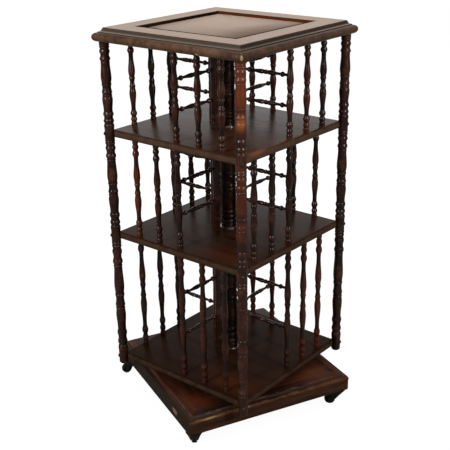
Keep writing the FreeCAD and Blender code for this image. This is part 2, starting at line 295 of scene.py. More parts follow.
def open_middle() -> None:
    """Removes the first and last faces of a stack and joins their rims by a wall."""
    bpy.ops.mesh.delete(type="ONLY_FACE")
    mesh = bpy.context.object.data
    bpy.ops.mesh.select_mode(type="FACE")
    bpy.ops.object.mode_set(mode="OBJECT")
    widest = max(mesh.polygons, key=lambda face: len(face.vertices))
    widest.select = True
    bpy.ops.object.mode_set(mode="EDIT")
    bpy.ops.mesh.delete(type="ONLY_FACE")
    bpy.ops.mesh.select_mode(type="EDGE")
    bpy.ops.mesh.select_non_manifold(extend=False)
    bpy.ops.mesh.bridge_edge_loops()


def smooth(sharp: float) -> None:
    """Smooths the active piece, apart from edges above an angle in degrees."""
    bpy.ops.object.shade_smooth_by_angle(angle=math.radians(sharp))


def close_edit(sharp: float) -> bpy.types.Object:
    """Turns the faces outwards, leaves edit mode and smooths what is rounded.

    Args:
        sharp: Angle in degrees above which an edge stays sharp.

    Returns:
        The object that was edited.
    """
    bpy.ops.mesh.select_all(action="SELECT")
    bpy.ops.mesh.normals_make_consistent(inside=False)
    bpy.ops.object.mode_set(mode="OBJECT")
    smooth(sharp)
    return bpy.context.object


def turned_stick(name: str, rings: Sequence[Ring], sides: int, hollow: bool = False) -> bpy.types.Object:
    """Turns a stick about Z and marks how far each ring stands out.

    Args:
        name: Name of the piece.
        rings: Radius and height of each ring.
        sides: Flats round the stick.
        hollow: Whether the first and last rings are the two rims of a bore.

    Returns:
        The stick, with its place in its mesh and a crest attribute from 0 in the grooves to 1.
    """
    deselect_all()
    first_radius, first_height = rings[0]
    bpy.ops.mesh.primitive_circle_add(
        vertices=sides, radius=first_radius, fill_type="NGON", location=(0, 0, first_height)
    )
    bpy.ops.object.transform_apply(location=True, rotation=False, scale=False)
    stick = bpy.context.object
    stick.name = name
    bpy.ops.object.mode_set(mode="EDIT")
    bpy.ops.mesh.select_all(action="SELECT")
    stack_rings(rings)
    if hollow:
        open_middle()
    close_edit(STICK_SHARP)
    low = min(radius for radius, _ in rings)
    high = max(radius for radius, _ in rings)
    crest = stick.data.attributes.new("crest", "FLOAT", "POINT")
    for vertex in stick.data.vertices:
        radius = math.hypot(vertex.co.x, vertex.co.y)
        crest.data[vertex.index].value = (radius - low) / max(high - low, MM)
    return stick


def moulded_square(name: str, rings: Sequence[Ring], corner: float, hollow: bool = False) -> bpy.types.Object:
    """Builds a square board about Z from the steps of its moulded edge.

    Args:
        name: Name of the piece.
        rings: Half width and height of each step, upwards and then inwards.
        corner: Radius of the rounded corners in plan, 0 for sharp mitres.
        hollow: Whether the first and last rings are the two rims of an opening.

    Returns:
        The board, with its place in its mesh.
    """
    deselect_all()
    half, height = rings[0]
    bpy.ops.mesh.primitive_plane_add(size=2 * half, location=(0, 0, height))
    bpy.ops.object.transform_apply(location=True, rotation=False, scale=False)
    piece = bpy.context.object
    piece.name = name
    bpy.ops.object.mode_set(mode="EDIT")
    bpy.ops.mesh.select_all(action="SELECT")
    if corner > 0:
        bpy.ops.mesh.bevel(offset=corner, segments=CORNER_STEPS, affect="VERTICES")
        bpy.ops.mesh.select_all(action="SELECT")
    stack_rings(rings)
    if hollow:
        open_middle()
    return close_edit(BOARD_SHARP)


def box_board(name: str, low: Vector, high: Vector, ease: float, segments: int = 3) -> bpy.types.Object:
    """Board that fills a box, with all its edges eased.

    Args:
        name: Name of the piece.
        low: Lowest corner.
        high: Highest corner.
        ease: Width of the eased edge.
        segments: Steps across the eased edge.

    Returns:
        The board, with its place in its mesh.
    """
    deselect_all()
    bpy.ops.mesh.primitive_cube_add(size=1, location=(low + high) / 2, scale=high - low)
    bpy.ops.object.transform_apply(location=True, rotation=True, scale=True)
    piece = bpy.context.object
    piece.name = name
    bevel = piece.modifiers.new("ease", "BEVEL")
    bevel.width = ease
    bevel.segments = segments
    bpy.ops.object.modifier_apply(modifier=bevel.name)
    smooth(BOARD_SHARP)
    return piece


def bored(piece: bpy.types.Object, radius: float, start: Vector, end: Vector) -> None:
    """Cuts a round hole into a piece.

    Args:
        piece: The piece to cut.
        radius: Radius of the hole.
        start: Point on the hole's axis where it begins.
        end: Point on the hole's axis where it ends.
    """
    deselect_all()
    along = end - start
    bpy.ops.mesh.primitive_cylinder_add(
        vertices=HOLE_SIDES,
        radius=radius,
        depth=along.length,
        location=(start + end) / 2,
        rotation=along.to_track_quat("Z", "Y").to_euler(),
    )
    cutter = bpy.context.object
    deselect_all()
    bpy.context.view_layer.objects.active = piece
    piece.select_set(True)
    hole = piece.modifiers.new("hole", "BOOLEAN")
    hole.object = cutter
    hole.solver = "EXACT"
    bpy.ops.object.modifier_apply(modifier=hole.name)
    bpy.data.objects.remove(cutter)


def copied(source: bpy.types.Object, place: Matrix) -> bpy.types.Object:
    """Copy of a piece with its own mesh, moved by a matrix.

    Args:
        source: The piece to copy.
        place: Where the copy goes, applied to its mesh.

    Returns:
        The copy, at the origin.
    """
    twin = source.copy()
    twin.data = source.data.copy()
    twin.data.transform(place)
    bpy.context.scene.collection.objects.link(twin)
    return twin


def joined(name: str, pieces: Sequence[bpy.types.Object]) -> bpy.types.Object:
    """Joins pieces of one sub-assembly into one object.

    Args:
        name: Name of the joined piece.
        pieces: What is joined; the first keeps its materials.

    Returns:
        The joined piece.
    """
    deselect_all()
    for piece in pieces:
        piece.select_set(True)
    bpy.context.view_layer.objects.active = pieces[0]
    if len(pieces) > 1:
        bpy.ops.object.join()
    whole = bpy.context.view_layer.objects.active
    whole.name = name
    whole.data.name = name
    return whole


def toned(stick: bpy.types.Object, tone: float | Callable[[float], float]) -> bpy.types.Object:
    """Marks one stick as darker or redder than its neighbours.

    Args:
        stick: The stick, before it is joined to others.
        tone: From 0, nearly black, to 1, warm red-brown; or a function that gives it at a height.

    Returns:
        The same stick.
    """
    shade = stick.data.attributes.new("tone", "FLOAT", "POINT")
    for vertex in stick.data.vertices:
        shade.data[vertex.index].value = tone(vertex.co.z) if callable(tone) else tone
    return stick


class Graph:
    """A node tree with short ways to add nodes and join them."""

    def __init__(self, tree: bpy.types.NodeTree) -> None:
        """Starts on an empty tree."""
        self.tree = tree
        tree.nodes.clear()

    def add(self, kind: str, **settings: object) -> bpy.types.Node:
        """Adds a node.

        Args:
            kind: Blender's name of the node type.
            **settings: Properties of the node.

        Returns:
            The new node.
        """
        node = self.tree.nodes.new(kind)
        for key, value in settings.items():
            setattr(node, key, value)
        return node

    def put(self, value: object, socket: Socket) -> None:
        """Links an output to a socket, or sets a plain value on it.

        Args:
            value: The value or output.
            socket: The socket of a node in this tree.
        """
        if isinstance(value, Socket):
            self.tree.links.new(value, socket)
        else:
            socket.default_value = value

    def fill(self, node: bpy.types.Node, values: dict[str, object]) -> None:
        """Puts a value or an output on each named socket of a node."""
        for key, value in values.items():
            self.put(value, node.inputs[key])

    def math(self, operation: str, first: object, second: object = 0.0, clamp: bool = False) -> Socket:
        """Adds a Math node.

        Args:
            operation: Blender's name of the operation.
            first: First value or output.
            second: Second value or output.
            clamp: Whether the result stays between 0 and 1.

        Returns:
            The node's output.
        """
        node = self.add("ShaderNodeMath", operation=operation, use_clamp=clamp)
        self.put(first, node.inputs[0])
        self.put(second, node.inputs[1])
        return node.outputs[0]

    def weighed(self, first: object, second: object, share: float) -> Socket:
        """Adds a share of one value to the rest of another.

        Args:
            first: Value or output that the share is of.
            second: Value or output that makes up the rest.
            share: The share, from 0 to 1.

        Returns:
            The sum.
        """
        rest = self.math("MULTIPLY", second, 1 - share)
        return self.math("ADD", self.math("MULTIPLY", first, share), rest)

    def vector(self, operation: str, *values: object) -> bpy.types.Node:
        """Adds a Vector Math node.

        Args:
            operation: Blender's name of the operation.
            *values: Values or outputs that it works on.

        Returns:
            The new node.
        """
        node = self.add("ShaderNodeVectorMath", operation=operation)
        for value, socket in zip(values, node.inputs):
            self.put(value, socket)
        return node

    def plan(self, vector: object) -> tuple[Socket, Socket]:
        """Splits coordinates seen from above.

        Args:
            vector: Output with the coordinates.

        Returns:
            Outputs with those along X and along Y.
        """
        node = self.add("ShaderNodeSeparateXYZ")
        self.put(vector, node.inputs[0])
        return node.outputs["X"], node.outputs["Y"]

    def ramp(self, value: object, low: float, high: float, start: float = 0.0, end: float = 1.0) -> Socket:
        """Maps a value smoothly from one range to another.

        Args:
            value: Value or output.
            low: Value that gives start.
            high: Value that gives end.
            start: Result at and below low.
            end: Result at and above high.

        Returns:
            The node's output.
        """
        node = self.add("ShaderNodeMapRange", interpolation_type="SMOOTHSTEP")
        self.fill(node, {"Value": value, "From Min": low, "From Max": high, "To Min": start, "To Max": end})
        return node.outputs["Result"]

    def mix(self, share: object, first: object, second: object) -> Socket:
        """Mixes two colours.

        Args:
            share: How much of the second colour, value or output.
            first: First colour or output.
            second: Second colour or output.

        Returns:
            The node's colour output.
        """
        node = self.add("ShaderNodeMix", data_type="RGBA")
        self.put(share, node.inputs["Factor"])
        self.put(_opaque(first), node.inputs[6])
        self.put(_opaque(second), node.inputs[7])
        return node.outputs[2]

    def noise(self, vector: object, scale: float, detail: float = 3.0, roughness: float = 0.55) -> Socket:
        """Adds a Noise texture.

        Args:
            vector: Output that places the texture.
            scale: How fine it is.
            detail: How many finer layers it has.
            roughness: How strong those layers are.

        Returns:
            The node's value output.
        """
        node = self.add("ShaderNodeTexNoise")
        self.fill(node, {"Vector": vector, "Scale": scale, "Detail": detail, "Roughness": roughness})
        return node.outputs["Fac"]

    def stretched(self, vector: object, scale: Point, turn: Point = (0, 0, 0)) -> Socket:
        """Scales and turns coordinates.

        Args:
            vector: Output with the coordinates.
            scale: Factor along each axis.
            turn: Angles about each axis, in degrees.

        Returns:
            The node's output.
        """
        node = self.add("ShaderNodeMapping")
        angles = tuple(math.radians(angle) for angle in turn)
        self.fill(node, {"Vector": vector, "Scale": scale, "Rotation": angles})
        return node.outputs["Vector"]

    def attribute(self, name: str) -> Socket:
        """Value of a mesh attribute."""
        return self.add("ShaderNodeAttribute", attribute_name=name).outputs["Fac"]

    def group(self, tree: bpy.types.NodeTree, **inputs: object) -> bpy.types.Node:
        """Places a node group.

        Args:
            tree: The group.
            **inputs: Values or outputs for its named inputs.

        Returns:
            The group's node.
        """
        node = self.add("ShaderNodeGroup", node_tree=tree)
        self.fill(node, inputs)
        return node

    def surface(self, look: dict[str, object], height: Socket, strength: float, depth: float) -> None:
        """Ends a material with one shader over fine relief.

        Args:
            look: Values or outputs for the shader's named sockets.
            height: Output with the relief.
            strength: How strongly the relief shows.
            depth: How deep it is.
        """
        bump = self.add("ShaderNodeBump")
        self.fill(bump, {"Height": height, "Strength": strength, "Distance": depth})
        shader = self.add("ShaderNodeBsdfPrincipled")
        self.fill(shader, look | {"Normal": bump.outputs["Normal"]})
        self.end("ShaderNodeOutputMaterial", shader.outputs["BSDF"])

    def end(self, kind: str, surface: Socket) -> None:
        """Adds the output node of a material or of the world and leads a surface to it."""
        self.put(surface, self.add(kind).inputs["Surface"])


def _opaque(value: object) -> object:
    """Adds full alpha to a plain colour."""
    return (*value, 1.0) if isinstance(value, tuple) and len(value) == 3 else value


def new_material(name: str) -> tuple[bpy.types.Material, Graph, Socket]:
    """Starts a material.

    Args:
        name: Name of the material.

    Returns:
        The material, its graph and the output with the piece's own coordinates.
    """
    made = bpy.data.materials.new(name)
    made.use_nodes = True
    graph = Graph(made.node_tree)
    return made, graph, graph.add("ShaderNodeTexCoord").outputs["Object"]


def new_group(name: str, inputs: dict[str, str], outputs: dict[str, str]) -> tuple[Graph, dict, dict]:
    """Starts a shader node group.

    Args:
        name: Name of the group.
        inputs: Socket type of each named input.
        outputs: Socket type of each named output.

    Returns:
        The group's graph, its input sockets and its output sockets by name.
    """
    tree = bpy.data.node_groups.new(name, "ShaderNodeTree")
    for key, kind in inputs.items():
        tree.interface.new_socket(key, in_out="INPUT", socket_type=kind)
    for key, kind in outputs.items():
        tree.interface.new_socket(key, in_out="OUTPUT", socket_type=kind)
    graph = Graph(tree)
    entry = graph.add("NodeGroupInput")
    end = graph.add("NodeGroupOutput")
    return graph, {key: entry.outputs[key] for key in inputs}, {key: end.inputs[key] for key in outputs}


FLOAT = "NodeSocketFloat"
VECTOR = "NodeSocketVector"


class Side(Enum):
    """The four sides of a square board, by their own names on the tower."""

    FRONT = "Front"
    RIGHT = "Right"
    REAR = "Rear"
    LEFT = "Left"


class Effects:
    """Shared surface effects, each a node group built once."""

    def __init__(self) -> None:
        """Builds all the groups."""
        self.grain = self._grain()
        self.wear = self._wear()
        self.edges = self._edges()
        self.tarnish = self._tarnish()
        self.sides = self._sides()

    @staticmethod
    def _grain() -> bpy.types.NodeTree:
        """Straight-grained wood along Z: broad figure, fine streaks and open pores."""
        graph, ins, outs = new_group(
            "straight_grain", {"Vector": VECTOR}, {"Figure": FLOAT, "Pores": FLOAT, "Height": FLOAT}
        )
        broad = graph.noise(graph.stretched(ins["Vector"], (1.0, 1.0, 0.12)), 26.0, 4.0)
        streak = graph.noise(graph.stretched(ins["Vector"], (1.0, 1.0, 0.035)), 210.0, 5.0, 0.62)
        figure = graph.weighed(broad, streak, 0.6)
        pore = graph.noise(graph.stretched(ins["Vector"], (1.0, 1.0, 0.05)), 620.0, 2.0, 0.5)
        pores = graph.ramp(pore, 0.56, 0.72)
        height = graph.math("SUBTRACT", graph.math("MULTIPLY", streak, 0.5), pores)
        graph.put(graph.ramp(figure, 0.34, 0.66), outs["Figure"])
        graph.put(pores, outs["Pores"])
        graph.put(height, outs["Height"])
        return graph.tree

    @staticmethod
    def _wear() -> bpy.types.NodeTree:
        """Polish rubbed through where a surface stands out, broken up by noise."""
        graph, ins, outs = new_group(
            "rubbed_polish", {"Vector": VECTOR, "Edge": FLOAT, "Amount": FLOAT}, {"Mask": FLOAT}
        )
        patch = graph.noise(ins["Vector"], 34.0, 5.0, 0.65)
        fine = graph.noise(ins["Vector"], 260.0, 3.0, 0.6)
        lifted = graph.math("MULTIPLY", ins["Edge"], ins["Amount"])
        rubbed = graph.math("ADD", graph.weighed(patch, fine, 0.75), lifted)
        graph.put(graph.ramp(rubbed, 0.62, 1.02), outs["Mask"])
        return graph.tree

    @staticmethod
    def _edges() -> bpy.types.NodeTree:
        """Mask that rises towards the four edges of a square board about the axis."""
        graph, ins, outs = new_group(
            "board_edges", {"Vector": VECTOR, "Half": FLOAT, "Band": FLOAT}, {"Edge": FLOAT}
        )
        across, along = graph.plan(ins["Vector"])
        reach = graph.math("MAXIMUM", graph.math("ABSOLUTE", across), graph.math("ABSOLUTE", along))
        inner = graph.math("SUBTRACT", ins["Half"], ins["Band"])
        share = graph.math("DIVIDE", graph.math("SUBTRACT", reach, inner), ins["Band"], clamp=True)
        graph.put(share, outs["Edge"])
        return graph.tree

    @staticmethod
    def _sides() -> bpy.types.NodeTree:
        """How far out on a square board a point lies, and on which of its four sides."""
        graph, ins, outs = new_group(
            "board_sides", {"Vector": VECTOR}, {"Reach": FLOAT} | {side.value: FLOAT for side in Side}
        )
        across, along = graph.plan(ins["Vector"])
        wide, deep = graph.math("ABSOLUTE", across), graph.math("ABSOLUTE", along)
        graph.put(graph.math("MAXIMUM", wide, deep), outs["Reach"])
        graph.put(graph.math("GREATER_THAN", across, deep), outs[Side.RIGHT.value])
        graph.put(graph.math("GREATER_THAN", along, wide), outs[Side.REAR.value])
        graph.put(graph.math("LESS_THAN", across, graph.math("MULTIPLY", deep, -1.0)), outs[Side.LEFT.value])
        graph.put(graph.math("LESS_THAN", along, graph.math("MULTIPLY", wide, -1.0)), outs[Side.FRONT.value])
        return graph.tree

    @staticmethod
    def _tarnish() -> bpy.types.NodeTree:
        """Uneven dulling of old metal."""
        graph, ins, outs = new_group("tarnish", {"Vector": VECTOR}, {"Mask": FLOAT, "Height": FLOAT})
        cloud = graph.noise(ins["Vector"], 90.0, 6.0, 0.65)
        speck = graph.noise(ins["Vector"], 700.0, 3.0, 0.6)
        graph.put(graph.ramp(graph.weighed(cloud, speck, 0.7), 0.36, 0.66), outs["Mask"])
        graph.put(speck, outs["Height"])
        return graph.tree


class Grain(Enum):
    """Which way the grain of a wooden piece runs, as turns that bring it onto Z."""

    UPRIGHT = (0.0, 0.0, 0.0)
    ALONG_X = (0.0, 90.0, 0.0)
    ALONG_Y = (90.0, 0.0, 0.0)
    MITRED = None


@dataclass(frozen=True)
class WearAndLightSpot:
    """A spot of another colour: bare wood where the polish is knocked off or worn thin, and in some places
    painted light.

    Attributes:
        place: Middle of the spot, in the frame.
        size: Half size of the spot along each axis.
        colour: Colour of the spot.
        soft: How softly its rim fades.
        dull: How much rougher it is than the polish round it.
    """

    place: Point
    size: Point
    colour: Colour = (0.42, 0.29, 0.17)
    soft: float = 0.3
    dull: float = 0.12


@dataclass(frozen=True)
class Band:
    """A stripe of another colour along the sides of a square board.

    Attributes:
        inner: Distance of its inner edge from the axis.
        outer: Distance of its outer edge from the axis.
        colour: Colour of the stripe.
        amount: How strongly it covers what is under it.
        side: The one side that it is on, or None for all four.
        broken: Whether it is broken up in patches.
        dull: How much rougher it is than the polish round it.
    """

    inner: float
    outer: float
    colour: Colour
    amount: float = 1.0
    side: Side | None = None
    broken: bool = False
    dull: float = 0.0


@dataclass(frozen=True)
class WoodFinish:
    """Polished dark wood with grain, rubbed edges and darker grooves.

    Attributes:
        name: Name of the material.
        deep: Colour of the dark figure and of grooves.
        warm: Colour of the light figure.
        bare: Colour where the polish is rubbed through.
        grain: Which way the grain runs.
        roughness: Roughness of the polished surface.
        specular: How strongly the surface mirrors its surroundings.
        haze: How strongly dust and old wax whiten it where it is seen at a low angle.
        wear: How much edges are rubbed.
        edge_half: Half width of a board whose edges are rubbed, 0 for turned pieces.
        edge_band: How far in from the edge the rubbing reaches.
        turn: Turn of the board about the axis, in degrees.
        wear_and_light_spots: Spots of bare wood, and spots of painted light.
        bands: Stripes along the sides of a board.
        pores: How strongly the open pores show.
    """

    name: str
    deep: Colour
    warm: Colour
    bare: Colour
    grain: Grain
    roughness: float = 0.34
    specular: float = 0.3
    haze: float = 0.0
    wear: float = 0.3
    edge_half: float = 0.0
    edge_band: float = 0.02
    turn: float = 0.0
    wear_and_light_spots: tuple[WearAndLightSpot, ...] = ()
    bands: tuple[Band, ...] = ()
    pores: float = 0.35

    def shaded(self, name: str, share: float, specular: float) -> "WoodFinish":
        """The same finish, darkened by painted shade and with another polish.

        Args:
            name: Name of its material.
            share: Brightness of its colours beside this one's.
            specular: How strongly it mirrors.

        Returns:
            The new finish.
        """
        deep, warm = (tuple(part * share for part in colour) for colour in (self.deep, self.warm))
        bare = tuple(part * math.sqrt(share) for part in self.bare)
        return replace(self, name=name, deep=deep, warm=warm, bare=bare, specular=specular)

    def material(self, effects: Effects) -> bpy.types.Material:
        """Builds the material.

        Args:
            effects: The shared node groups.

        Returns:
            The finished material.
        """
        made, graph, place = new_material(self.name)
        square = graph.stretched(place, (1, 1, 1), (0, 0, -self.turn)) if self.turn else place
        grain = graph.group(effects.grain, Vector=self._along_grain(graph, square)).outputs
        if self.edge_half:
            rim = graph.group(effects.edges, Vector=square, Half=self.edge_half, Band=self.edge_band)
            edge = rim.outputs["Edge"]
            shade = grain["Figure"]
        else:
            edge = graph.attribute("crest")
            tone = graph.attribute("tone")
            streaks = graph.math("MULTIPLY", grain["Figure"], graph.ramp(tone, 0.0, 1.0, *STICK_FIGURE))
            shade = graph.math("ADD", streaks, graph.math("MULTIPLY", tone, STICK_TONE))
        wear = graph.group(effects.wear, Vector=place, Edge=edge, Amount=self.wear).outputs["Mask"]
        colour = graph.mix(shade, self.deep, self.warm)
        colour = graph.mix(graph.math("MULTIPLY", grain["Pores"], self.pores), colour, self.deep)
        if not self.edge_half:
            groove = graph.ramp(edge, *GROOVE_CREST, GROOVE_DARKENING, 0.0)
            colour = graph.mix(groove, colour, self.deep)
        colour = graph.mix(wear, colour, self.bare)
        uneven = graph.math("MULTIPLY", grain["Figure"], FIGURE_ROUGHNESS)
        rough = graph.math("ADD", uneven, self.roughness - FIGURE_ROUGHNESS / 2)
        rough = graph.math("ADD", rough, graph.math("MULTIPLY", wear, WORN_ROUGHNESS))
        marks = [(spot_mark, self._spot_mask(graph, place, spot_mark)) for spot_mark in self.wear_and_light_spots]
        if self.bands:
            sides = graph.group(effects.sides, Vector=square)
            marks = [(band, self._band_mask(graph, place, sides, band)) for band in self.bands] + marks
        for mark, mask in marks:
            colour = graph.mix(mask, colour, mark.colour)
            if mark.dull:
                rough = graph.math("ADD", rough, graph.math("MULTIPLY", mask, mark.dull))
        look = {
            "Base Color": colour,
            "Roughness": rough,
            "Specular IOR Level": self.specular,
            "Sheen Weight": self.haze,
            "Sheen Roughness": HAZE_ROUGHNESS,
            "Sheen Tint": (*HAZE_TINT, 1),
        }
        graph.surface(look, grain["Height"], PORE_RELIEF * self.pores, PORE_DEPTH)
        return made

    def _along_grain(self, graph: Graph, place: Socket) -> Socket:
        """Coordinates with the grain along Z.

        Args:
            graph: The material's graph.
            place: Output with the board's own coordinates.

        Returns:
            Output with the turned coordinates.
        """
        if self.grain is not Grain.MITRED:
            return graph.stretched(place, (1, 1, 1), self.grain.value)
        across, along = graph.plan(place)
        side = graph.math("GREATER_THAN", graph.math("ABSOLUTE", across), graph.math("ABSOLUTE", along))
        node = graph.add("ShaderNodeMix", data_type="VECTOR")
        graph.put(side, node.inputs["Factor"])
        graph.put(graph.stretched(place, (1, 1, 1), Grain.ALONG_X.value), node.inputs[4])
        graph.put(graph.stretched(place, (1, 1, 1), Grain.ALONG_Y.value), node.inputs[5])
        return node.outputs[1]

    @staticmethod
    def _band_mask(graph: Graph, place: Socket, sides: bpy.types.Node, band: Band) -> Socket:
        """Mask of one stripe.

        Args:
            graph: The material's graph.
            place: Output with the piece's coordinates.
            sides: Node that tells how far out and on which side a point lies.
            band: The stripe.

        Returns:
            Output that is the stripe's amount on it and 0 elsewhere.
        """
        reach = sides.outputs["Reach"]
        inside = graph.ramp(reach, band.inner - BAND_BLUR, band.inner + BAND_BLUR)
        outside = graph.ramp(reach, band.outer - BAND_BLUR, band.outer + BAND_BLUR)
        mask = graph.math("SUBTRACT", inside, outside)
        if band.side:
            mask = graph.math("MULTIPLY", mask, sides.outputs[band.side.value])
        if band.broken:
            patches = graph.noise(place, 24.0, 5.0, 0.65)
            mask = graph.math("MULTIPLY", mask, graph.ramp(patches, 0.38, 0.62))
        return graph.math("MULTIPLY", mask, band.amount)

    @staticmethod
    def _spot_mask(graph: Graph, place: Socket, spot_mark: WearAndLightSpot) -> Socket:
        """Mask of one spot, with a ragged rim.

        Args:
            graph: The material's graph.
            place: Output with the piece's coordinates.
            spot_mark: Where the spot is.

        Returns:
            Output that is 1 inside the spot.
        """
        node = graph.add("ShaderNodeMapping", vector_type="TEXTURE")
        graph.fill(node, {"Vector": place, "Location": spot_mark.place, "Scale": spot_mark.size})
        reach = graph.vector("LENGTH", node.outputs["Vector"]).outputs["Value"]
        spread = SPOT_RAGGED * max(1 - spot_mark.soft, 0.1)
        ragged = graph.math("MULTIPLY", graph.noise(place, 240.0), spread)
        rim = 1 + spread / 2
        return graph.ramp(graph.math("ADD", reach, ragged), rim, rim - spot_mark.soft)


@dataclass(frozen=True)
class MetalFinish:
    """Old metal, bright where it is rubbed and dull elsewhere.

    Attributes:
        name: Name of the material.
        bright: Colour of clean metal.
        dull: Colour of tarnish.
        clean: Share of the surface that stays bright.
        roughness: Roughness of the bright metal.
    """

    name: str
    bright: Colour
    dull: Colour
    clean: float
    roughness: float

    def material(self, effects: Effects) -> bpy.types.Material:
        """Builds the material.

        Args:
            effects: The shared node groups.

        Returns:
            The finished material.
        """
        made, graph, place = new_material(self.name)
        old = graph.group(effects.tarnish, Vector=place).outputs
        dulled = graph.ramp(old["Mask"], self.clean - TARNISH_BLEND, self.clean + TARNISH_BLEND)
        dull_roughness = self.roughness + TARNISH_ROUGHNESS
        look = {
            "Base Color": graph.mix(dulled, self.bright, self.dull),
            "Metallic": graph.ramp(dulled, 0.0, 1.0, 1.0, TARNISH_METALLIC),
            "Roughness": graph.ramp(dulled, 0.0, 1.0, self.roughness, dull_roughness),
        }
        graph.surface(look, old["Height"], PIT_RELIEF, PIT_DEPTH)
        return made


# Turn of the base about the pole, in degrees
BASE_TURN = -23.9
# How much of a stick's colour comes from its tone, and from its figure on dark and on red sticks
STICK_TONE = 0.6
STICK_FIGURE = (0.2, 0.6)
# How much darker the grooves of a stick are, and from which crest on that thins out and ends
GROOVE_DARKENING = 0.7
GROOVE_CREST = (0.05, 0.5)
# How gradually bright metal turns to tarnish, and how metallic and how much rougher that is
TARNISH_BLEND = 0.3
TARNISH_METALLIC = 0.55
TARNISH_ROUGHNESS = 0.25
# How much rougher the polish is along its figure and where it is rubbed
FIGURE_ROUGHNESS = 0.08
WORN_ROUGHNESS = 0.12
# Colour and softness of the haze of dust and old wax
HAZE_TINT: Colour = (1.0, 0.79, 0.63)
HAZE_ROUGHNESS = 0.4
# Strength and depth of the relief of open pores and of pitted metal
PORE_RELIEF = 0.7
PORE_DEPTH = 0.6 * MM
PIT_RELIEF = 0.2
PIT_DEPTH = 0.4 * MM
# Softness of a stripe's edge, and raggedness of a spot's rim
BAND_BLUR = 0.3 * MM
SPOT_RAGGED = 0.7

TURNED_WOOD = WoodFinish(
    "turned_mahogany",
    deep=(0.010, 0.0055, 0.004),
    warm=(0.21, 0.042, 0.013),
    bare=(0.20, 0.07, 0.03),
    grain=Grain.UPRIGHT,
    roughness=0.22,
    specular=0.5,
    wear=0.2,
    # Painted light: a warm orange glow on the lower bulb of the front post in the upper tier
    wear_and_light_spots=(WearAndLightSpot((0.2395, -0.2395, 0.926), (0.022, 0.022, 0.028), (0.34, 0.100, 0.022), 0.9),),
)
COLUMN_WOOD = replace(TURNED_WOOD, name="column_mahogany", specular=0.2, roughness=0.3, wear_and_light_spots=())
SHELF_WOOD = WoodFinish(
    "shelf_mahogany",
    deep=(0.058, 0.022, 0.011),
    warm=(0.105, 0.042, 0.021),
    bare=(0.125, 0.072, 0.047),
    grain=Grain.ALONG_X,
    roughness=0.3,
    pores=0.03,
    wear=0.42,
    edge_half=0.2285,
    edge_band=0.005,
    wear_and_light_spots=(
        WearAndLightSpot((0.130, -0.165, 0.0), (0.120, 0.080, 2.0), (0.085, 0.022, 0.007), 1.1),
        WearAndLightSpot((0.224, -0.160, 0.833), (0.014, 0.055, 0.012), (0.24, 0.085, 0.035), 0.8),
    ),
)
# How strongly the shelf of each tier mirrors, and how bright its colours are: lower shelves darkened by
# painted shade
SHELF_POLISH = {"upper": 0.062, "middle": 0.032, "lower": 0.016}
SHELF_SHADED_BRIGHTNESS = {"upper": 0.9, "middle": 0.55, "lower": 0.4}
TOP_BOARD_WOOD = WoodFinish(
    "top_board_mahogany",
    deep=(0.026, 0.012, 0.007),
    warm=(0.11, 0.048, 0.024),
    bare=(0.20, 0.105, 0.06),
    grain=Grain.MITRED,
    specular=0.2,
    haze=0.12,
    wear=0.35,
    edge_half=0.254,
    edge_band=0.014,
    # Painted shade: the right side of the board's edge and bull nose is darkened
    bands=(Band(0.2, 0.27, (0.030, 0.017, 0.012), 0.4, Side.RIGHT),),
    wear_and_light_spots=(
        WearAndLightSpot((0.2525, -0.2525, 1.083), (0.004, 0.004, 0.010), (0.55, 0.36, 0.20)),
        WearAndLightSpot((0.115, -0.252, 1.078), (0.008, 0.006, 0.005)),
    ),
)
TOP_FRAME_WOOD = WoodFinish(
    "top_frame_mahogany",
    deep=(0.10, 0.047, 0.024),
    warm=(0.19, 0.095, 0.050),
    bare=(0.20, 0.105, 0.058),
    grain=Grain.MITRED,
    specular=0.12,
    haze=0.57,
    wear=0.2,
    edge_half=0.232,
    edge_band=0.01,
    # Painted shade darkens the cove all round; on the front side it is painted lighter, for the light that
    # falls there
    bands=(
        Band(0.2308, 0.25, (0.016, 0.010, 0.008), 0.95),
        Band(0.2308, 0.25, (0.080, 0.057, 0.044), 0.95, Side.FRONT),
    ),
)
# Near-black matte moulding put where the recess edge lies in shade: painted shade; its rear and right stripes
# are painted redder, for the light on those sides
RECESS_SHADE_WOOD = WoodFinish(
    "recess_painted_shade",
    deep=(0.010, 0.006, 0.004),
    warm=(0.030, 0.011, 0.006),
    bare=(0.045, 0.016, 0.008),
    grain=Grain.MITRED,
    roughness=0.7,
    specular=0.0,
    wear=0.1,
    edge_half=0.172,
    edge_band=0.002,
    bands=(
        Band(0.160, 0.1640, (0.13, 0.035, 0.012), 0.9, Side.REAR),
        Band(0.160, 0.1740, (0.060, 0.018, 0.009), 0.8, Side.RIGHT),
    ),
)
TOP_PANEL_WOOD = WoodFinish(
    "top_panel_mahogany",
    deep=(0.12, 0.058, 0.030),
    warm=(0.18, 0.090, 0.048),
    bare=(0.20, 0.105, 0.058),
    grain=Grain.ALONG_X,
    specular=0.12,
    haze=0.57,
    wear=0.15,
    edge_half=0.17,
    edge_band=0.01,
    wear_and_light_spots=(WearAndLightSpot((0.155, 0.0, 1.103), (0.13, 0.26, 0.1), (0.055, 0.026, 0.014), 0.8, 0.35),),
)
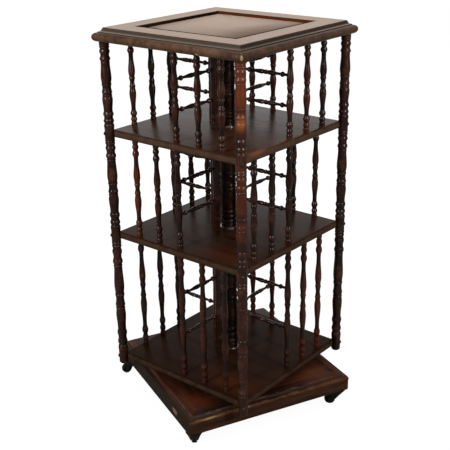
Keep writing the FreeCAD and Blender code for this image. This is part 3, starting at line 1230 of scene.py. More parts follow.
BASE_WOOD = WoodFinish(
    "base_mahogany",
    deep=(0.018, 0.008, 0.005),
    warm=(0.12, 0.032, 0.014),
    bare=(0.16, 0.065, 0.028),
    grain=Grain.MITRED,
    specular=0.08,
    wear=0.3,
    edge_half=0.260,
    edge_band=0.007,
    turn=BASE_TURN,
    bands=(
        # Painted light and shade round the field: a light line at the field's edge, painted highlight and
        # wear; painted shade in the cove; a darker line in the quirk, painted shade; a gold painted highlight
        # along the right nosing, broken like wear; and the front nosing painted greyer, for the light on that
        # side
        Band(0.2418, 0.2448, (0.17, 0.11, 0.075), 0.6, broken=True),
        Band(0.2448, 0.2512, (0.055, 0.032, 0.022), 0.8),
        Band(0.2512, 0.2530, (0.012, 0.007, 0.005), 0.9),
        Band(0.2530, 0.2592, (0.17, 0.075, 0.030), 0.9, Side.RIGHT, broken=True),
        Band(0.2530, 0.2650, (0.030, 0.022, 0.015), 0.85, Side.FRONT),
    ),
    wear_and_light_spots=(
        # Painted light: reddish glow on the outer field, where light falls beyond the shelf over it
        WearAndLightSpot((0.079, -0.249, 0.103), (0.070, 0.040, 0.02), (0.11, 0.022, 0.008), 1.1),
        WearAndLightSpot((0.243, 0.072, 0.103), (0.080, 0.060, 0.02), (0.12, 0.038, 0.014), 1.1),
        # Gold painted highlights along the nosing by the front corner, partly wear
        WearAndLightSpot((0.150, -0.280, 0.093), (0.026, 0.034, 0.0035), (0.34, 0.20, 0.095), 0.6),
        WearAndLightSpot((0.196, -0.180, 0.093), (0.018, 0.030, 0.0035), (0.36, 0.19, 0.080), 0.6),
    ),
)
APRON_WOOD = WoodFinish(
    "apron_mahogany",
    deep=(0.032, 0.017, 0.011),
    warm=(0.12, 0.050, 0.028),
    bare=(0.12, 0.055, 0.03),
    grain=Grain.MITRED,
    specular=0.03,
    wear=0.1,
    edge_half=0.259,
    edge_band=0.003,
    turn=BASE_TURN,
    # Painted light: the front side is coloured greyer than the rest, for how light falls on it
    bands=(Band(0.25, 0.27, (0.040, 0.030, 0.022), 0.85, Side.FRONT),),
    wear_and_light_spots=(WearAndLightSpot((0.0405, -0.3017, 0.080), (0.021, 0.012, 0.013), (0.34, 0.25, 0.16)),),
)
IRON = MetalFinish(
    "blackened_iron", bright=(0.09, 0.085, 0.08), dull=(0.03, 0.026, 0.024), clean=0.35, roughness=0.42
)
COLLAR_METAL = MetalFinish(
    "bright_collar", bright=(0.72, 0.70, 0.66), dull=(0.30, 0.27, 0.23), clean=0.6, roughness=0.25
)
BOLT_BRASS = MetalFinish(
    "tarnished_brass", bright=(0.11, 0.085, 0.045), dull=(0.03, 0.027, 0.019), clean=0.35, roughness=0.4
)
CASTOR_METAL = MetalFinish(
    "castor_metal", bright=(0.07, 0.05, 0.035), dull=(0.018, 0.014, 0.011), clean=0.35, roughness=0.45
)
WHEEL_METAL = MetalFinish(
    "castor_wheel_metal", bright=(0.07, 0.05, 0.037), dull=(0.02, 0.015, 0.012), clean=0.35, roughness=0.45
)


class Finishes:
    """All the materials, each built once."""

    def __init__(self) -> None:
        """Builds the shared effects and the materials on them."""
        effects = Effects()
        self.turned = TURNED_WOOD.material(effects)
        self.column = COLUMN_WOOD.material(effects)
        self.shelves = {}
        for tier in TIERS:
            # Lit and shaded copies of one shelf finish: painted shade darkens the lower tiers
            wood = SHELF_WOOD.shaded(f"shelf_mahogany_{tier}", SHELF_SHADED_BRIGHTNESS[tier], SHELF_POLISH[tier])
            self.shelves[tier] = wood.material(effects)
        self.top_board = TOP_BOARD_WOOD.material(effects)
        self.top_frame = TOP_FRAME_WOOD.material(effects)
        self.recess = RECESS_SHADE_WOOD.material(effects)
        self.top_panel = TOP_PANEL_WOOD.material(effects)
        self.base = BASE_WOOD.material(effects)
        self.apron = APRON_WOOD.material(effects)
        self.iron = IRON.material(effects)
        self.collar = COLLAR_METAL.material(effects)
        self.brass = BOLT_BRASS.material(effects)
        self.castor = CASTOR_METAL.material(effects)
        self.wheel = WHEEL_METAL.material(effects)


def dress(
    piece: bpy.types.Object, finish: bpy.types.Material, body: str, nodes: Sequence[str] = ()
) -> bpy.types.Object:
    """Gives a new piece its finish and puts it in the place of solids.

    Args:
        piece: The finished mesh.
        finish: Its material.
        body: The body it rides on.
        nodes: The solids it stands for, none for a piece that is added to them.

    Returns:
        The same piece.
    """
    piece.data.materials.clear()
    piece.data.materials.append(finish)
    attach(piece, body)
    if nodes:
        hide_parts(*nodes)
    log.info("%s rides on %s, %d faces", piece.name, body, len(piece.data.polygons))
    return piece


def refinish(nodes: Iterable[str], finish: bpy.types.Material) -> None:
    """Gives solids that show as they are a better material.

    Args:
        nodes: Names of the solids.
        finish: Their material.
    """
    for name in nodes:
        mesh = frame["nodes"][name].data
        mesh.materials.clear()
        mesh.materials.append(finish)
        log.info("%s keeps its solid", name)


@dataclass
class Top:
    """Bull-nosed board, moulded frame, near-black recess moulding that stands in for shade, and sunk panel.

    Attributes:
        finishes: The materials.
        nose_steps: Steps round the bull nose.
        nose_depth: Depth of the bull nose beside a true half round.
        board_corner: Radius of the board's corners in plan.
        cove_steps: Steps round the frame's cove.
        cove: How far in from its foot the frame's upper edge stands.
        fillet: Width of the small flat over the cove.
        lip: Height of the small steps under and over the cove.
        arris: Width of the frame's eased upper edge.
        inner_ease: Width of the eased edge round the sunk panel.
        ease_steps: Steps round that edge.
        bead: Width of the small moulding that lines the recess.
        joint: Gap between that moulding and the frame.
        gap: Gap between the panel and that moulding.
        panel_ease: Width of the panel's eased edges.
    """

    finishes: Finishes
    nose_steps: int = 12
    nose_depth: float = 0.92
    board_corner: float = 3 * MM
    cove_steps: int = 6
    cove: float = 10 * MM
    fillet: float = 1.2 * MM
    lip: float = 2.5 * MM
    arris: float = 0.8 * MM
    inner_ease: float = 1.2 * MM
    ease_steps: int = 3
    bead: float = 9 * MM
    joint: float = 0.1 * MM
    gap: float = 0.4 * MM
    panel_ease: float = 1.0 * MM

    def build(self) -> None:
        """Builds and dresses all four pieces."""
        self._board()
        self._frame()
        self._recess_shade_bead()
        self._panel()

    def _board(self) -> None:
        """Board whose four edges are rounded to a bull nose."""
        low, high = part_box("top_board")
        radius = (high.z - low.z) / 2
        middle = (high.z + low.z) / 2
        rings = []
        for step in range(self.nose_steps + 1):
            angle = math.pi * (step / self.nose_steps - 0.5)
            inward = radius * (1 - math.cos(angle)) * self.nose_depth
            rings.append((high.x - inward, middle + radius * math.sin(angle)))
        board = moulded_square("top_board_bullnosed", rings, self.board_corner)
        dress(board, self.finishes.top_board, "tower", ["top_board"])

    def _frame(self) -> None:
        """Four mitred lengths with a stepped cove outside and a square edge inside."""
        low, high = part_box("top_frame")
        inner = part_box("top_panel")[1].x + self.gap + self.bead
        foot = high.x
        rim = foot - self.cove
        cove_foot = low.z + self.lip
        cove_head = high.z - self.lip
        rings = [(inner, low.z), (foot, low.z), (foot, cove_foot)]
        for sine, cosine in quarter_arc(self.cove_steps)[1:]:
            inward = (self.cove - self.fillet) * sine
            rings.append((foot - inward, cove_foot + (cove_head - cove_foot) * (1 - cosine)))
        rings += [
            (rim, cove_head),
            (rim, high.z - self.arris),
            (rim - self.arris, high.z),
            (inner, high.z),
            (inner, low.z + SEAM / 2),
        ]
        piece = moulded_square("top_frame_moulded", rings, 0, hollow=True)
        dress(piece, self.finishes.top_frame, "tower", ["top_frame"])

    def _recess_shade_bead(self) -> None:
        """Small near-black moulding that lines the recess, rounded towards the panel: painted shade along the
        recess edge.
        """
        low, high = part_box("top_frame")
        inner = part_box("top_panel")[1].x + self.gap
        outer = inner + self.bead - self.joint
        ease = self.inner_ease
        rings = [(inner, low.z), (outer, low.z), (outer, high.z)]
        for sine, cosine in quarter_arc(self.ease_steps):
            rings.append((inner + ease * (1 - sine), high.z - ease * (1 - cosine)))
        rings.append((inner, low.z + SEAM / 2))
        piece = moulded_square("top_recess_shade_bead", rings, 0, hollow=True)
        # Painted shade: the dark moulding stands in for the shade along the recess edge
        dress(piece, self.finishes.recess, "tower")

    def _panel(self) -> None:
        """Sunk panel with eased edges."""
        low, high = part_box("top_panel")
        panel = box_board("top_panel_sunk", low, high, self.panel_ease)
        dress(panel, self.finishes.top_panel, "tower", ["top_panel"])


@dataclass
class Shelves:
    """Three shelf boards with eased edges and clipped corners.

    Attributes:
        finishes: The materials.
        ease: Width of the rounded edge.
        ease_steps: Steps round that edge.
        seat: Distance of the clipped corners from the axis.
        hole: Radius of the collar's hole.
    """

    finishes: Finishes
    ease: float = 8.0 * MM
    ease_steps: int = 6
    seat: float = 312.2 * MM
    hole: float = 15 * MM

    def build(self) -> None:
        """Builds and dresses the shelf of each tier."""
        for tier in TIERS:
            node = f"shelf_{tier}"
            low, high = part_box(node)
            shelf = box_board(f"{node}_board", low, high, self.ease, self.ease_steps)
            self._clip_corners()
            below, above = low.z - self.ease, high.z + self.ease
            bored(shelf, self.hole, Vector((0, 0, below)), Vector((0, 0, above)))
            smooth(BOARD_SHARP)
            dress(shelf, self.finishes.shelves[tier], "tower", [node])

    def _clip_corners(self) -> None:
        """Cuts the corners off the active board, where the posts stand."""
        bpy.ops.object.mode_set(mode="EDIT")
        for corner in range(4):
            out = Matrix.Rotation(math.pi / 4 + corner * QUARTER_TURN, 3, "Z") @ Vector((1, 0, 0))
            bpy.ops.mesh.select_all(action="SELECT")
            bpy.ops.mesh.bisect(plane_co=out * self.seat, plane_no=out, use_fill=True, clear_outer=True)
        close_edit(BOARD_SHARP)


@dataclass
class CornerPosts:
    """Four full-height turned posts and the bolts through them.

    Attributes:
        finishes: The materials.
        sides: Flats round a post.
        foot: Radius and height of the steps of the rounded foot, in millimetres.
        block: Radius of the plain block at each shelf, in millimetres.
        flats: Flats round the solid post, on one of which a bolt's washer sits.
        tones: How red each post is, in the order of the corners.
        shade_falloff: How fast painted shade darkens that red towards the foot of the post.
        dark_share: Share of a tier, from its foot, that stays dark.
        dawn: Share of a tier over which the red then comes in.
        least: Least red of a tier, beside its full red.
        waist: Shares of a tier between which its waist is darker.
        waist_red: Red of the waist beside the full red.
        shaded_foot_red: Red below the lowest shelf, kept low as painted shade.
        shank_radius: Radius of a bolt's shank.
        shank: Length of a bolt's shank.
        head_radius: Radius of a bolt's washer.
        head_height: Height of a bolt's head, with the washer.
        washer: Thickness of the washer.
        washer_edge: Height of the washer's edge beside its thickness.
        dome: Radius of the domed head beside the washer's.
        dome_steps: Steps up the dome.
        bolt_sides: Flats round a bolt.
    """

    finishes: Finishes
    sides: int = 32
    foot: tuple[Ring, ...] = ((7.0, 0.0), (10.5, 0.8), (12.8, 3.0), (13.5, 6.0))
    block: float = 13.5
    flats: int = 10
    tones: tuple[float, ...] = (0.8, 0.15, 0.1, 0.2)
    shade_falloff: float = 2.6
    dark_share: float = 0.22
    dawn: float = 0.15
    least: float = 0.15
    waist: tuple[float, float] = (0.45, 0.54)
    waist_red: float = 0.5
    shaded_foot_red: float = 0.1
    shank_radius: float = 2.9 * MM
    shank: float = 34 * MM
    head_radius: float = 5.6 * MM
    head_height: float = 4.0 * MM
    washer: float = 1.0 * MM
    washer_edge: float = 0.9
    dome: float = 0.86
    dome_steps: int = 6
    bolt_sides: int = 18

    def build(self) -> None:
        """Builds and dresses the posts and the bolts."""
        pattern = turned_stick("corner_post_pattern", self._rings(), self.sides)
        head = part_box("corner_post_front_right")[1].z
        levels = [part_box(f"shelf_{tier}")[1].z for tier in reversed(TIERS)] + [head]
        for corner, tone in zip(CORNERS, self.tones):
            node = f"corner_post_{corner}"
            low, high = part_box(node)
            middle = (low + high) / 2
            post = copied(pattern, Matrix.Translation((middle.x, middle.y, 0)))
            # Painted shade: each post's red is darkened towards its foot, for the weaker light lower down
            toned(post, lambda height, red=tone: red * self._redness_and_shade(height, levels))
            post.name = f"{node}_turned"
            dress(post, self.finishes.turned, "tower", [node])
        bpy.data.objects.remove(pattern)
        self._bolts()

    def _rings(self) -> list[Ring]:
        """Rings of a whole post: a rounded foot, then block and turning at each tier."""
        low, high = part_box("corner_post_front_right")
        rings = [(radius * MM, low.z + rise * MM) for radius, rise in self.foot]
        levels = [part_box(f"shelf_{tier}") for tier in reversed(TIERS)]
        ceilings = [below.z for below, _ in levels[1:]] + [high.z]
        tier = Turning(POST_TIER_STROKES, self.block)
        for (_, surface), ceiling in zip(levels, ceilings):
            rings += tier.rings(surface.z, ceiling)
        return rings

    def _redness_and_shade(self, height: float, levels: Sequence[float]) -> float:
        """How red the post is at a height: least at the foot of each tier, and darkened by painted shade
        towards the foot of the post.

        Args:
            height: Height on the post.
            levels: Heights of the shelves and of the post's head, upwards.

        Returns:
            From 0, dark all through, to 1.
        """
        for bottom, top in zip(levels, levels[1:]):
            if bottom <= height <= top:
                share = (height - bottom) / (top - bottom)
                rubbed = min(max((share - self.dark_share) / self.dawn, self.least), 1)
                ringed = self.waist_red if self.waist[0] < share < self.waist[1] else 1
                # Painted shade: the tier's red falls off with its height
                return rubbed * ringed * (top / levels[-1]) ** self.shade_falloff
        return self.shaded_foot_red

    def _bolts(self) -> None:
        """Round-headed bolts, on a washer, at every post and shelf."""
        radius, washer = self.head_radius, self.washer
        rings = [
            (self.shank_radius, -self.shank),
            (self.shank_radius, 0.0),
            (radius, 0.0),
            (radius, self.washer_edge * washer),
            (radius * self.dome, washer),
        ]
        for sine, cosine in quarter_arc(self.dome_steps)[1:-1]:
            rings.append((radius * self.dome * cosine, washer + (self.head_height - washer) * sine))
        pattern = turned_stick("bolt_pattern", rings, self.bolt_sides)
        post_low, post_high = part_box("corner_post_front_right")
        centre = (post_low + post_high) / 2
        seat = math.hypot(centre.x, centre.y) + self.block * MM * math.cos(math.pi / self.flats)
        lay = Matrix.Rotation(QUARTER_TURN, 4, "Y")
        bolts = []
        for tier in TIERS:
            shelf_low, shelf_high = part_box(f"shelf_{tier}")
            lift = Matrix.Translation((0, 0, (shelf_low.z + shelf_high.z) / 2))
            for corner in range(4):
                turn = Matrix.Rotation(corner * QUARTER_TURN - math.pi / 4, 4, "Z")
                bolts.append(copied(pattern, lift @ turn @ Matrix.Translation((seat, 0, 0)) @ lay))
        bpy.data.objects.remove(pattern)
        whole = joined("post_bolts_domed", bolts)
        dress(whole, self.finishes.brass, "tower", ["post_bolts"])


@dataclass
class Spindles:
    """Turned spindles along the faces, inner posts round the column and rails between them.

    Attributes:
        finishes: The materials.
        sides: Flats round a spindle or an inner post.
        spindle_red: Most red of a spindle.
        inner_line: Distance of the inner posts from the axis.
        inner_radius: Radius that an inner post is filled out towards, in millimetres.
        inner_fill: How far it is filled out.
        inner_red: Most red of an inner post.
        rail_levels: Heights of the rails as shares of a tier.
        rail_sides: Flats round a rail.
        rail_start: Distance of a rail's inner end from the inner post's axis.
        rail_short: How far a rail's outer end stops short of the solid's.
        rail_red: Most red of a rail.
        draw: Source of the small differences between sticks.
    """

    finishes: Finishes
    sides: int = 22
    spindle_red: float = 0.6
    inner_line: float = 54 * MM
    inner_radius: float = 10.2
    inner_fill: float = 0.7
    inner_red: float = 0.35
    rail_levels: tuple[float, float] = (0.345, 0.68)
    rail_sides: int = 16
    rail_start: float = 5.5 * MM
    rail_short: float = 0.5 * MM
    rail_red: float = 0.15
    draw: random.Random = field(default_factory=lambda: random.Random(11))

    def build(self) -> None:
        """Builds and dresses the spindles, inner posts and rails of each tier."""
        for tier in TIERS:
            low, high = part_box(f"spindles_{tier}_front")
            pattern = turned_stick("spindle_pattern", SPINDLE_TURNING.rings(low.z, high.z), self.sides)
            for face in FACES:
                self._face(tier, face, pattern)
            bpy.data.objects.remove(pattern)
            self._inner_posts(tier, low.z, high.z)
            self._rails(tier, low.z, high.z)

    def _face(self, tier: str, face: str, pattern: bpy.types.Object) -> None:
        """Spindles of one face.

        Args:
            tier: Name of the tier.
            face: Name of the face.
            pattern: The spindle to copy.
        """
        node = f"spindles_{tier}_{face}"
        low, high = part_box(node)
        middle = (low + high) / 2
        size = high - low
        run = Vector((1, 0, 0)) if size.x > size.y else Vector((0, 1, 0))
        pitch = abs(size.x - size.y) / 2
        sticks = []
        for place in (-1, 0, 1):
            spot = middle + run * pitch * place
            turn = Matrix.Rotation(self.draw.uniform(0, FULL_TURN), 4, "Z")
            stick = copied(pattern, Matrix.Translation((spot.x, spot.y, 0)) @ turn)
            sticks.append(toned(stick, self.spindle_red * self.draw.random() ** 2))
        dress(joined(f"{node}_turned", sticks), self.finishes.turned, "tower", [node])

    def _inner_posts(self, tier: str, bottom: float, top: float) -> None:
        """Four posts round the column of one tier.

        Args:
            tier: Name of the tier.
            bottom: Height of the shelf under them.
            top: Height of the board over them.
        """
        node = f"inner_posts_{tier}"
        turning = SPINDLE_TURNING.stouter(self.inner_radius, self.inner_fill)
        pattern = turned_stick("inner_post_pattern", turning.rings(bottom, top), self.sides)
        sticks = []
        for side in range(4):
            turn = Matrix.Rotation(side * QUARTER_TURN, 4, "Z")
            stick = copied(pattern, turn @ Matrix.Translation((0, -self.inner_line, 0)))
            sticks.append(toned(stick, self.draw.uniform(0.0, self.inner_red)))
        bpy.data.objects.remove(pattern)
        dress(joined(f"{node}_turned", sticks), self.finishes.turned, "tower", [node])

    def _rails(self, tier: str, bottom: float, top: float) -> None:
        """Rails of one tier, from the mid-face spindles to the inner posts.

        Args:
            tier: Name of the tier.
            bottom: Height of the shelf under them.
            top: Height of the board over them.
        """
        node = f"divider_rails_{tier}"
        start = self.inner_line + self.rail_start
        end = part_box(node)[1].x - self.rail_short
        pattern = turned_stick("rail_pattern", RAIL_TURNING.rings(start, end), self.rail_sides)
        lay = Matrix.Rotation(QUARTER_TURN, 4, "Y")
        rails = []
        for level in self.rail_levels:
            lift = Matrix.Translation((0, 0, bottom + level * (top - bottom)))
            for side in range(4):
                turn = Matrix.Rotation(side * QUARTER_TURN, 4, "Z")
                rail = copied(pattern, lift @ turn @ lay)
                rails.append(toned(rail, self.draw.uniform(0.0, self.rail_red)))
        bpy.data.objects.remove(pattern)
        dress(joined(f"{node}_turned", rails), self.finishes.turned, "tower", [node])


@dataclass
class Column:
    """Turned sleeves and collars round the pole, and the iron they turn on.

    Attributes:
        finishes: The materials.
        sides: Flats round a sleeve.
        bore: Radius of a sleeve's bore.
        tone: How red the sleeves are; below 0 their light figure turns dark too.
        collar_bore: Radius of a collar's bore.
        bush: Radius of a collar's bush.
        flange: Thickness of a collar's flange.
        flange_ease: Width of the flange's eased edge.
        collar_sides: Flats round a collar.
    """

    finishes: Finishes
    sides: int = 36
    bore: float = 11.8 * MM
    tone: float = -0.25
    collar_bore: float = 11.05 * MM
    bush: float = 14.9 * MM
    flange: float = 3 * MM
    flange_ease: float = 0.8 * MM
    collar_sides: int = 40

    def build(self) -> None:
        """Builds and dresses the sleeves and collars, and finishes the iron."""
        for tier in TIERS:
            node = f"column_sleeve_{tier}"
            low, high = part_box(node)
            rings = COLUMN_TURNING.rings(low.z, high.z)
            rings = [(self.bore, low.z), *rings, (self.bore, high.z), (self.bore, low.z + SEAM)]
            sleeve = toned(turned_stick(f"{node}_turned", rings, self.sides, hollow=True), self.tone)
            dress(sleeve, self.finishes.column, "tower", [node])
        self._collars()
        refinish(["pivot_cup", "pole", "pole_flange", "pole_nut"], self.finishes.iron)

    def _collars(self) -> None:
        """Bright flanged bush at each shelf."""
        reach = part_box("shelf_collars")[1].x
        collars = []
        for tier in TIERS:
            low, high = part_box(f"shelf_{tier}")
            top = high.z + self.flange
            rings = [
                (self.collar_bore, low.z),
                (self.bush, low.z),
                (self.bush, high.z),
                (reach, high.z),
                (reach, top - self.flange_ease),
                (reach - self.flange_ease, top),
                (self.collar_bore, top),
                (self.collar_bore, low.z + SEAM),
            ]
            collars.append(turned_stick("collar", rings, self.collar_sides, hollow=True))
        whole = joined("shelf_collars_flanged", collars)
        dress(whole, self.finishes.collar, "tower", ["shelf_collars"])


@dataclass
class Base:
    """Moulded base board on a mitred apron.

    Attributes:
        finishes: The materials.
        half: Half width at the nosing.
        tuck: How far the nosing turns in at its foot, and how high that reaches.
        nosing: Height of the nosing's round.
        shoulder_half: Half width where the nosing's round ends.
        cove_half: Half width at the cove's foot.
        field_half: Half width of the raised field.
        steps: Steps round the nosing and round the cove.
        corner: Radius of the rounded corners in plan.
        apron_half: Half width of the apron.
        apron_thickness: Thickness of the apron.
        ease: Width of the eased edges.
        hole: Radius of the pole's hole.
    """

    finishes: Finishes
    half: float = 260 * MM
    tuck: float = 2 * MM
    nosing: float = 9.5 * MM
    shoulder_half: float = 252.5 * MM
    cove_half: float = 251 * MM
    field_half: float = 244 * MM
    steps: int = 8
    corner: float = 6 * MM
    apron_half: float = 259 * MM
    apron_thickness: float = 20 * MM
    ease: float = 1.2 * MM
    hole: float = 11.02 * MM

    def build(self) -> None:
        """Builds and dresses the board and the apron, and finishes the glue blocks."""
        low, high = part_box("base_board")
        board = moulded_square("base_board_moulded", self._edge(low.z, high.z), self.corner)
        board.data.transform(Matrix.Rotation(math.radians(BASE_TURN), 4, "Z"))
        bored(board, self.hole, Vector((0, 0, low.z - MM)), Vector((0, 0, high.z + MM)))
        smooth(BOARD_SHARP)
        dress(board, self.finishes.base, "base", ["base_board"])
        self._apron()
        refinish(["corner_blocks"], self.finishes.apron)

    def _edge(self, bottom: float, top: float) -> list[Ring]:
        """Steps of the board's edge: quarter-round nosing, cove and eased field.

        Args:
            bottom: Height of the board's underside.
            top: Height of its field.

        Returns:
            Half width and height of each step, upwards.
        """
        spring = bottom + self.tuck
        rings = [(self.half - self.tuck, bottom), (self.half - 0.3 * self.tuck, bottom + 0.4 * self.tuck)]
        arc = quarter_arc(self.steps)
        for sine, cosine in arc:
            inward = (self.half - self.shoulder_half) * (1 - cosine)
            rings.append((self.half - inward, spring + self.nosing * sine))
        shoulder = spring + self.nosing
        crown = top - 0.5 * self.ease
        for sine, cosine in reversed(arc):
            half = self.cove_half - (self.cove_half - self.field_half) * cosine
            rings.append((half, crown - (crown - shoulder) * sine))
        rings.append((self.field_half - 0.4 * self.ease, top - 0.1 * self.ease))
        rings.append((self.field_half - self.ease, top))
        return rings

    def _apron(self) -> None:
        """Apron with an eased lower edge."""
        low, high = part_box("base_apron")
        half, inner, ease = self.apron_half, self.apron_half - self.apron_thickness, self.ease
        rings = [
            (inner, low.z),
            (half - ease, low.z),
            (half - 0.3 * ease, low.z + 0.3 * ease),
            (half, low.z + ease),
            (half, high.z),
            (inner, high.z),
            (inner, low.z + SEAM),
        ]
        apron = moulded_square("base_apron_mitred", rings, self.corner * inner / half, hollow=True)
        apron.data.transform(Matrix.Rotation(math.radians(BASE_TURN), 4, "Z"))
        dress(apron, self.finishes.apron, "base", ["base_apron"])


@dataclass
class Castors:
    """Swivel castors: plates on the base, and a fork, axle and wheel at each corner.

    Attributes:
        finishes: The materials.
        trail: Distance from the swivel axis to the axle.
        wheel_radius: Radius of the tread.
        wheel_half: Half width of the wheel.
        wheel_sides: Flats round the wheel.
        hub: Radius of the hub's boss.
        web: How deep the web is hollowed.
        rim: How far the rim's faces lie inside the wheel's width.
        tread_round: Height of the tread's rounded shoulder.
        tread_slope: Width of that shoulder.
        tread_steps: Steps round that shoulder.
        axle_radius: Radius of the axle.
        axle_half: Half length of the axle.
        axle_sides: Flats round the axle.
        rivet: Length of the axle's riveted ends.
        rivet_end: Radius at their tips beside the axle's.
        play: Play of the wheel on its axle.
        side_gap: Gap between cheek and wheel.
        rim_gap: Gap between tread and horn.
        foot: Height of the horn's foot.
        foot_radius: Radius of the horn round the axle.
        crown_radius: Radius of the crown.
        flare: How late the horn widens towards its crown.
        horn_ease: Width of the eased edges at the horn's foot and crown.
        horn_steps: Steps up the horn.
        horn_sides: Flats round the horn.
        pin_radius: Radius of the king pin's socket.
        pin_foot: Height of the socket's end.
    """

    finishes: Finishes
    trail: float = 22 * MM
    wheel_radius: float = 16 * MM
    wheel_half: float = 7.5 * MM
    wheel_sides: int = 40
    hub: float = 5.0 * MM
    web: float = 2.0 * MM
    rim: float = 0.2 * MM
    tread_round: float = 2.6 * MM
    tread_slope: float = 4.0 * MM
    tread_steps: int = 5
    axle_radius: float = 3 * MM
    axle_half: float = 13.5 * MM
    axle_sides: int = 20
    rivet: float = 0.6 * MM
    rivet_end: float = 0.7
    play: float = 0.05 * MM
    side_gap: float = 0.5 * MM
    rim_gap: float = 1.5 * MM
    foot: float = 8 * MM
    foot_radius: float = 12.5 * MM
    crown_radius: float = 24 * MM
    flare: float = 1.3
    horn_ease: float = MM
    horn_steps: int = 10
    horn_sides: int = 36
    pin_radius: float = 4.05 * MM
    pin_foot: float = 37.5 * MM

    def build(self) -> None:
        """Builds one castor and places a copy at each corner."""
        wheel, fork, axle = self._wheel(), self._fork(), self._axle()
        joints = {joint["name"]: joint for joint in frame["joints"]}
        for corner in CORNERS:
            swivel = Vector(joints[f"castor_{corner}_swivel"]["pos_m"])
            hub = Vector(joints[f"castor_{corner}_roll"]["pos_m"])
            heading = math.atan2(hub.y - swivel.y, hub.x - swivel.x)
            place = Matrix.Translation((swivel.x, swivel.y, 0)) @ Matrix.Rotation(heading, 4, "Z")
            for pattern, part, finish, slot, body in (
                (wheel, "wheel", self.finishes.wheel, "castor_wheel", f"wheel_{corner}"),
                (fork, "fork", self.finishes.castor, "castor_metal", f"castor_{corner}"),
                (axle, "axle", self.finishes.castor, "castor_metal", f"castor_{corner}"),
            ):
                piece = copied(pattern, place)
                piece.name = f"castor_{part}_{corner}_made"
                dress(piece, finish, body, [f"castor_{part}_{corner}"])
        for pattern in (wheel, fork, axle):
            bpy.data.objects.remove(pattern)
        refinish(["castor_plates"], self.finishes.castor)

    def _lay(self, height: float) -> Matrix:
        """Lays a piece turned about Z along Y, at the axle."""
        return Matrix.Translation((self.trail, 0, height)) @ Matrix.Rotation(QUARTER_TURN, 4, "X")

    def _wheel(self) -> bpy.types.Object:
        """Wheel with a hub boss, a hollowed web and a rounded tread."""
        bore = self.axle_radius + self.play
        half, tread = self.wheel_half, self.wheel_radius
        shoulder = tread - self.tread_round
        boss, face = half - self.rim / 2, half - self.rim
        side = [
            (bore, boss),
            (self.hub, boss),
            (self.hub + 0.7 * MM, boss - 0.7 * MM),
            (self.hub + 1.2 * MM, half - self.web),
            (shoulder - 3.4 * MM, half - self.web),
            (shoulder - 2.4 * MM, face - 0.5 * MM),
            (shoulder - 1.6 * MM, face),
            (shoulder, face),
        ]
        for sine, cosine in quarter_arc(self.tread_steps)[1:]:
            side.append((tread - self.tread_round * (1 - sine), face - self.tread_slope * (1 - cosine)))
        rings = [(radius, -height) for radius, height in side]
        rings += [(radius, height) for radius, height in reversed(side)]
        rings.append((bore, -boss))
        wheel = turned_stick("castor_wheel_pattern", rings, self.wheel_sides, hollow=True)
        wheel.data.transform(self._lay(tread))
        return wheel

    def _axle(self) -> bpy.types.Object:
        """Axle pin with riveted ends."""
        half, radius = self.axle_half, self.axle_radius
        neck, tip = half - self.rivet, radius * self.rivet_end
        rings = [(tip, -half), (radius, -neck), (radius, neck), (tip, half)]
        axle = turned_stick("castor_axle_pattern", rings, self.axle_sides)
        axle.data.transform(self._lay(self.wheel_radius))
        return axle

    def _fork(self) -> bpy.types.Object:
        """Horn that widens from round the axle up to its crown, cut out for wheel, axle and king pin."""
        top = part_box("castor_fork_front_right")[1].z
        deselect_all()
        steps = self._steps(top)
        radius, height, back = steps[0]
        bpy.ops.mesh.primitive_circle_add(
            vertices=self.horn_sides, radius=radius, fill_type="NGON", location=(back, 0, height)
        )
        bpy.ops.object.transform_apply(location=True, rotation=False, scale=False)
        bpy.ops.object.mode_set(mode="EDIT")
        bpy.ops.mesh.select_all(action="SELECT")
        for (before, low, back), (after, high, ahead) in zip(steps, steps[1:]):
            bpy.ops.mesh.extrude_region_move(TRANSFORM_OT_translate={"value": (ahead - back, 0, high - low)})
            ratio = after / before
            bpy.ops.transform.resize(value=(ratio, ratio, 1), center_override=(ahead, 0, high))
        horn = close_edit(BOARD_SHARP)
        horn.name = "castor_fork_pattern"
        hub = Vector((self.trail, 0, self.wheel_radius))
        side = Vector((0, self.wheel_half + self.side_gap, 0))
        bored(horn, self.wheel_radius + self.rim_gap, hub - side, hub + side)
        through = 4 * side
        bored(horn, self.axle_radius, hub - through, hub + through)
        bored(horn, self.pin_radius, Vector((0, 0, self.pin_foot)), Vector((0, 0, top + MM)))
        smooth(BOARD_SHARP)
        return horn

    def _steps(self, top: float) -> list[tuple[float, float, float]]:
        """Steps of the horn's outline.

        Args:
            top: Height of its crown.

        Returns:
            Radius, height and distance behind the swivel axis of each step, upwards.
        """
        ease = self.horn_ease
        steps = [(self.foot_radius - ease, self.foot, self.trail)]
        for step in range(1, self.horn_steps + 1):
            share = step / self.horn_steps
            radius = self.foot_radius + (self.crown_radius - self.foot_radius) * share**self.flare
            steps.append((radius, self.foot + (top - ease - self.foot) * share, self.trail * (1 - share)))
        return steps + [(self.crown_radius - 0.5 * ease, top, 0)]


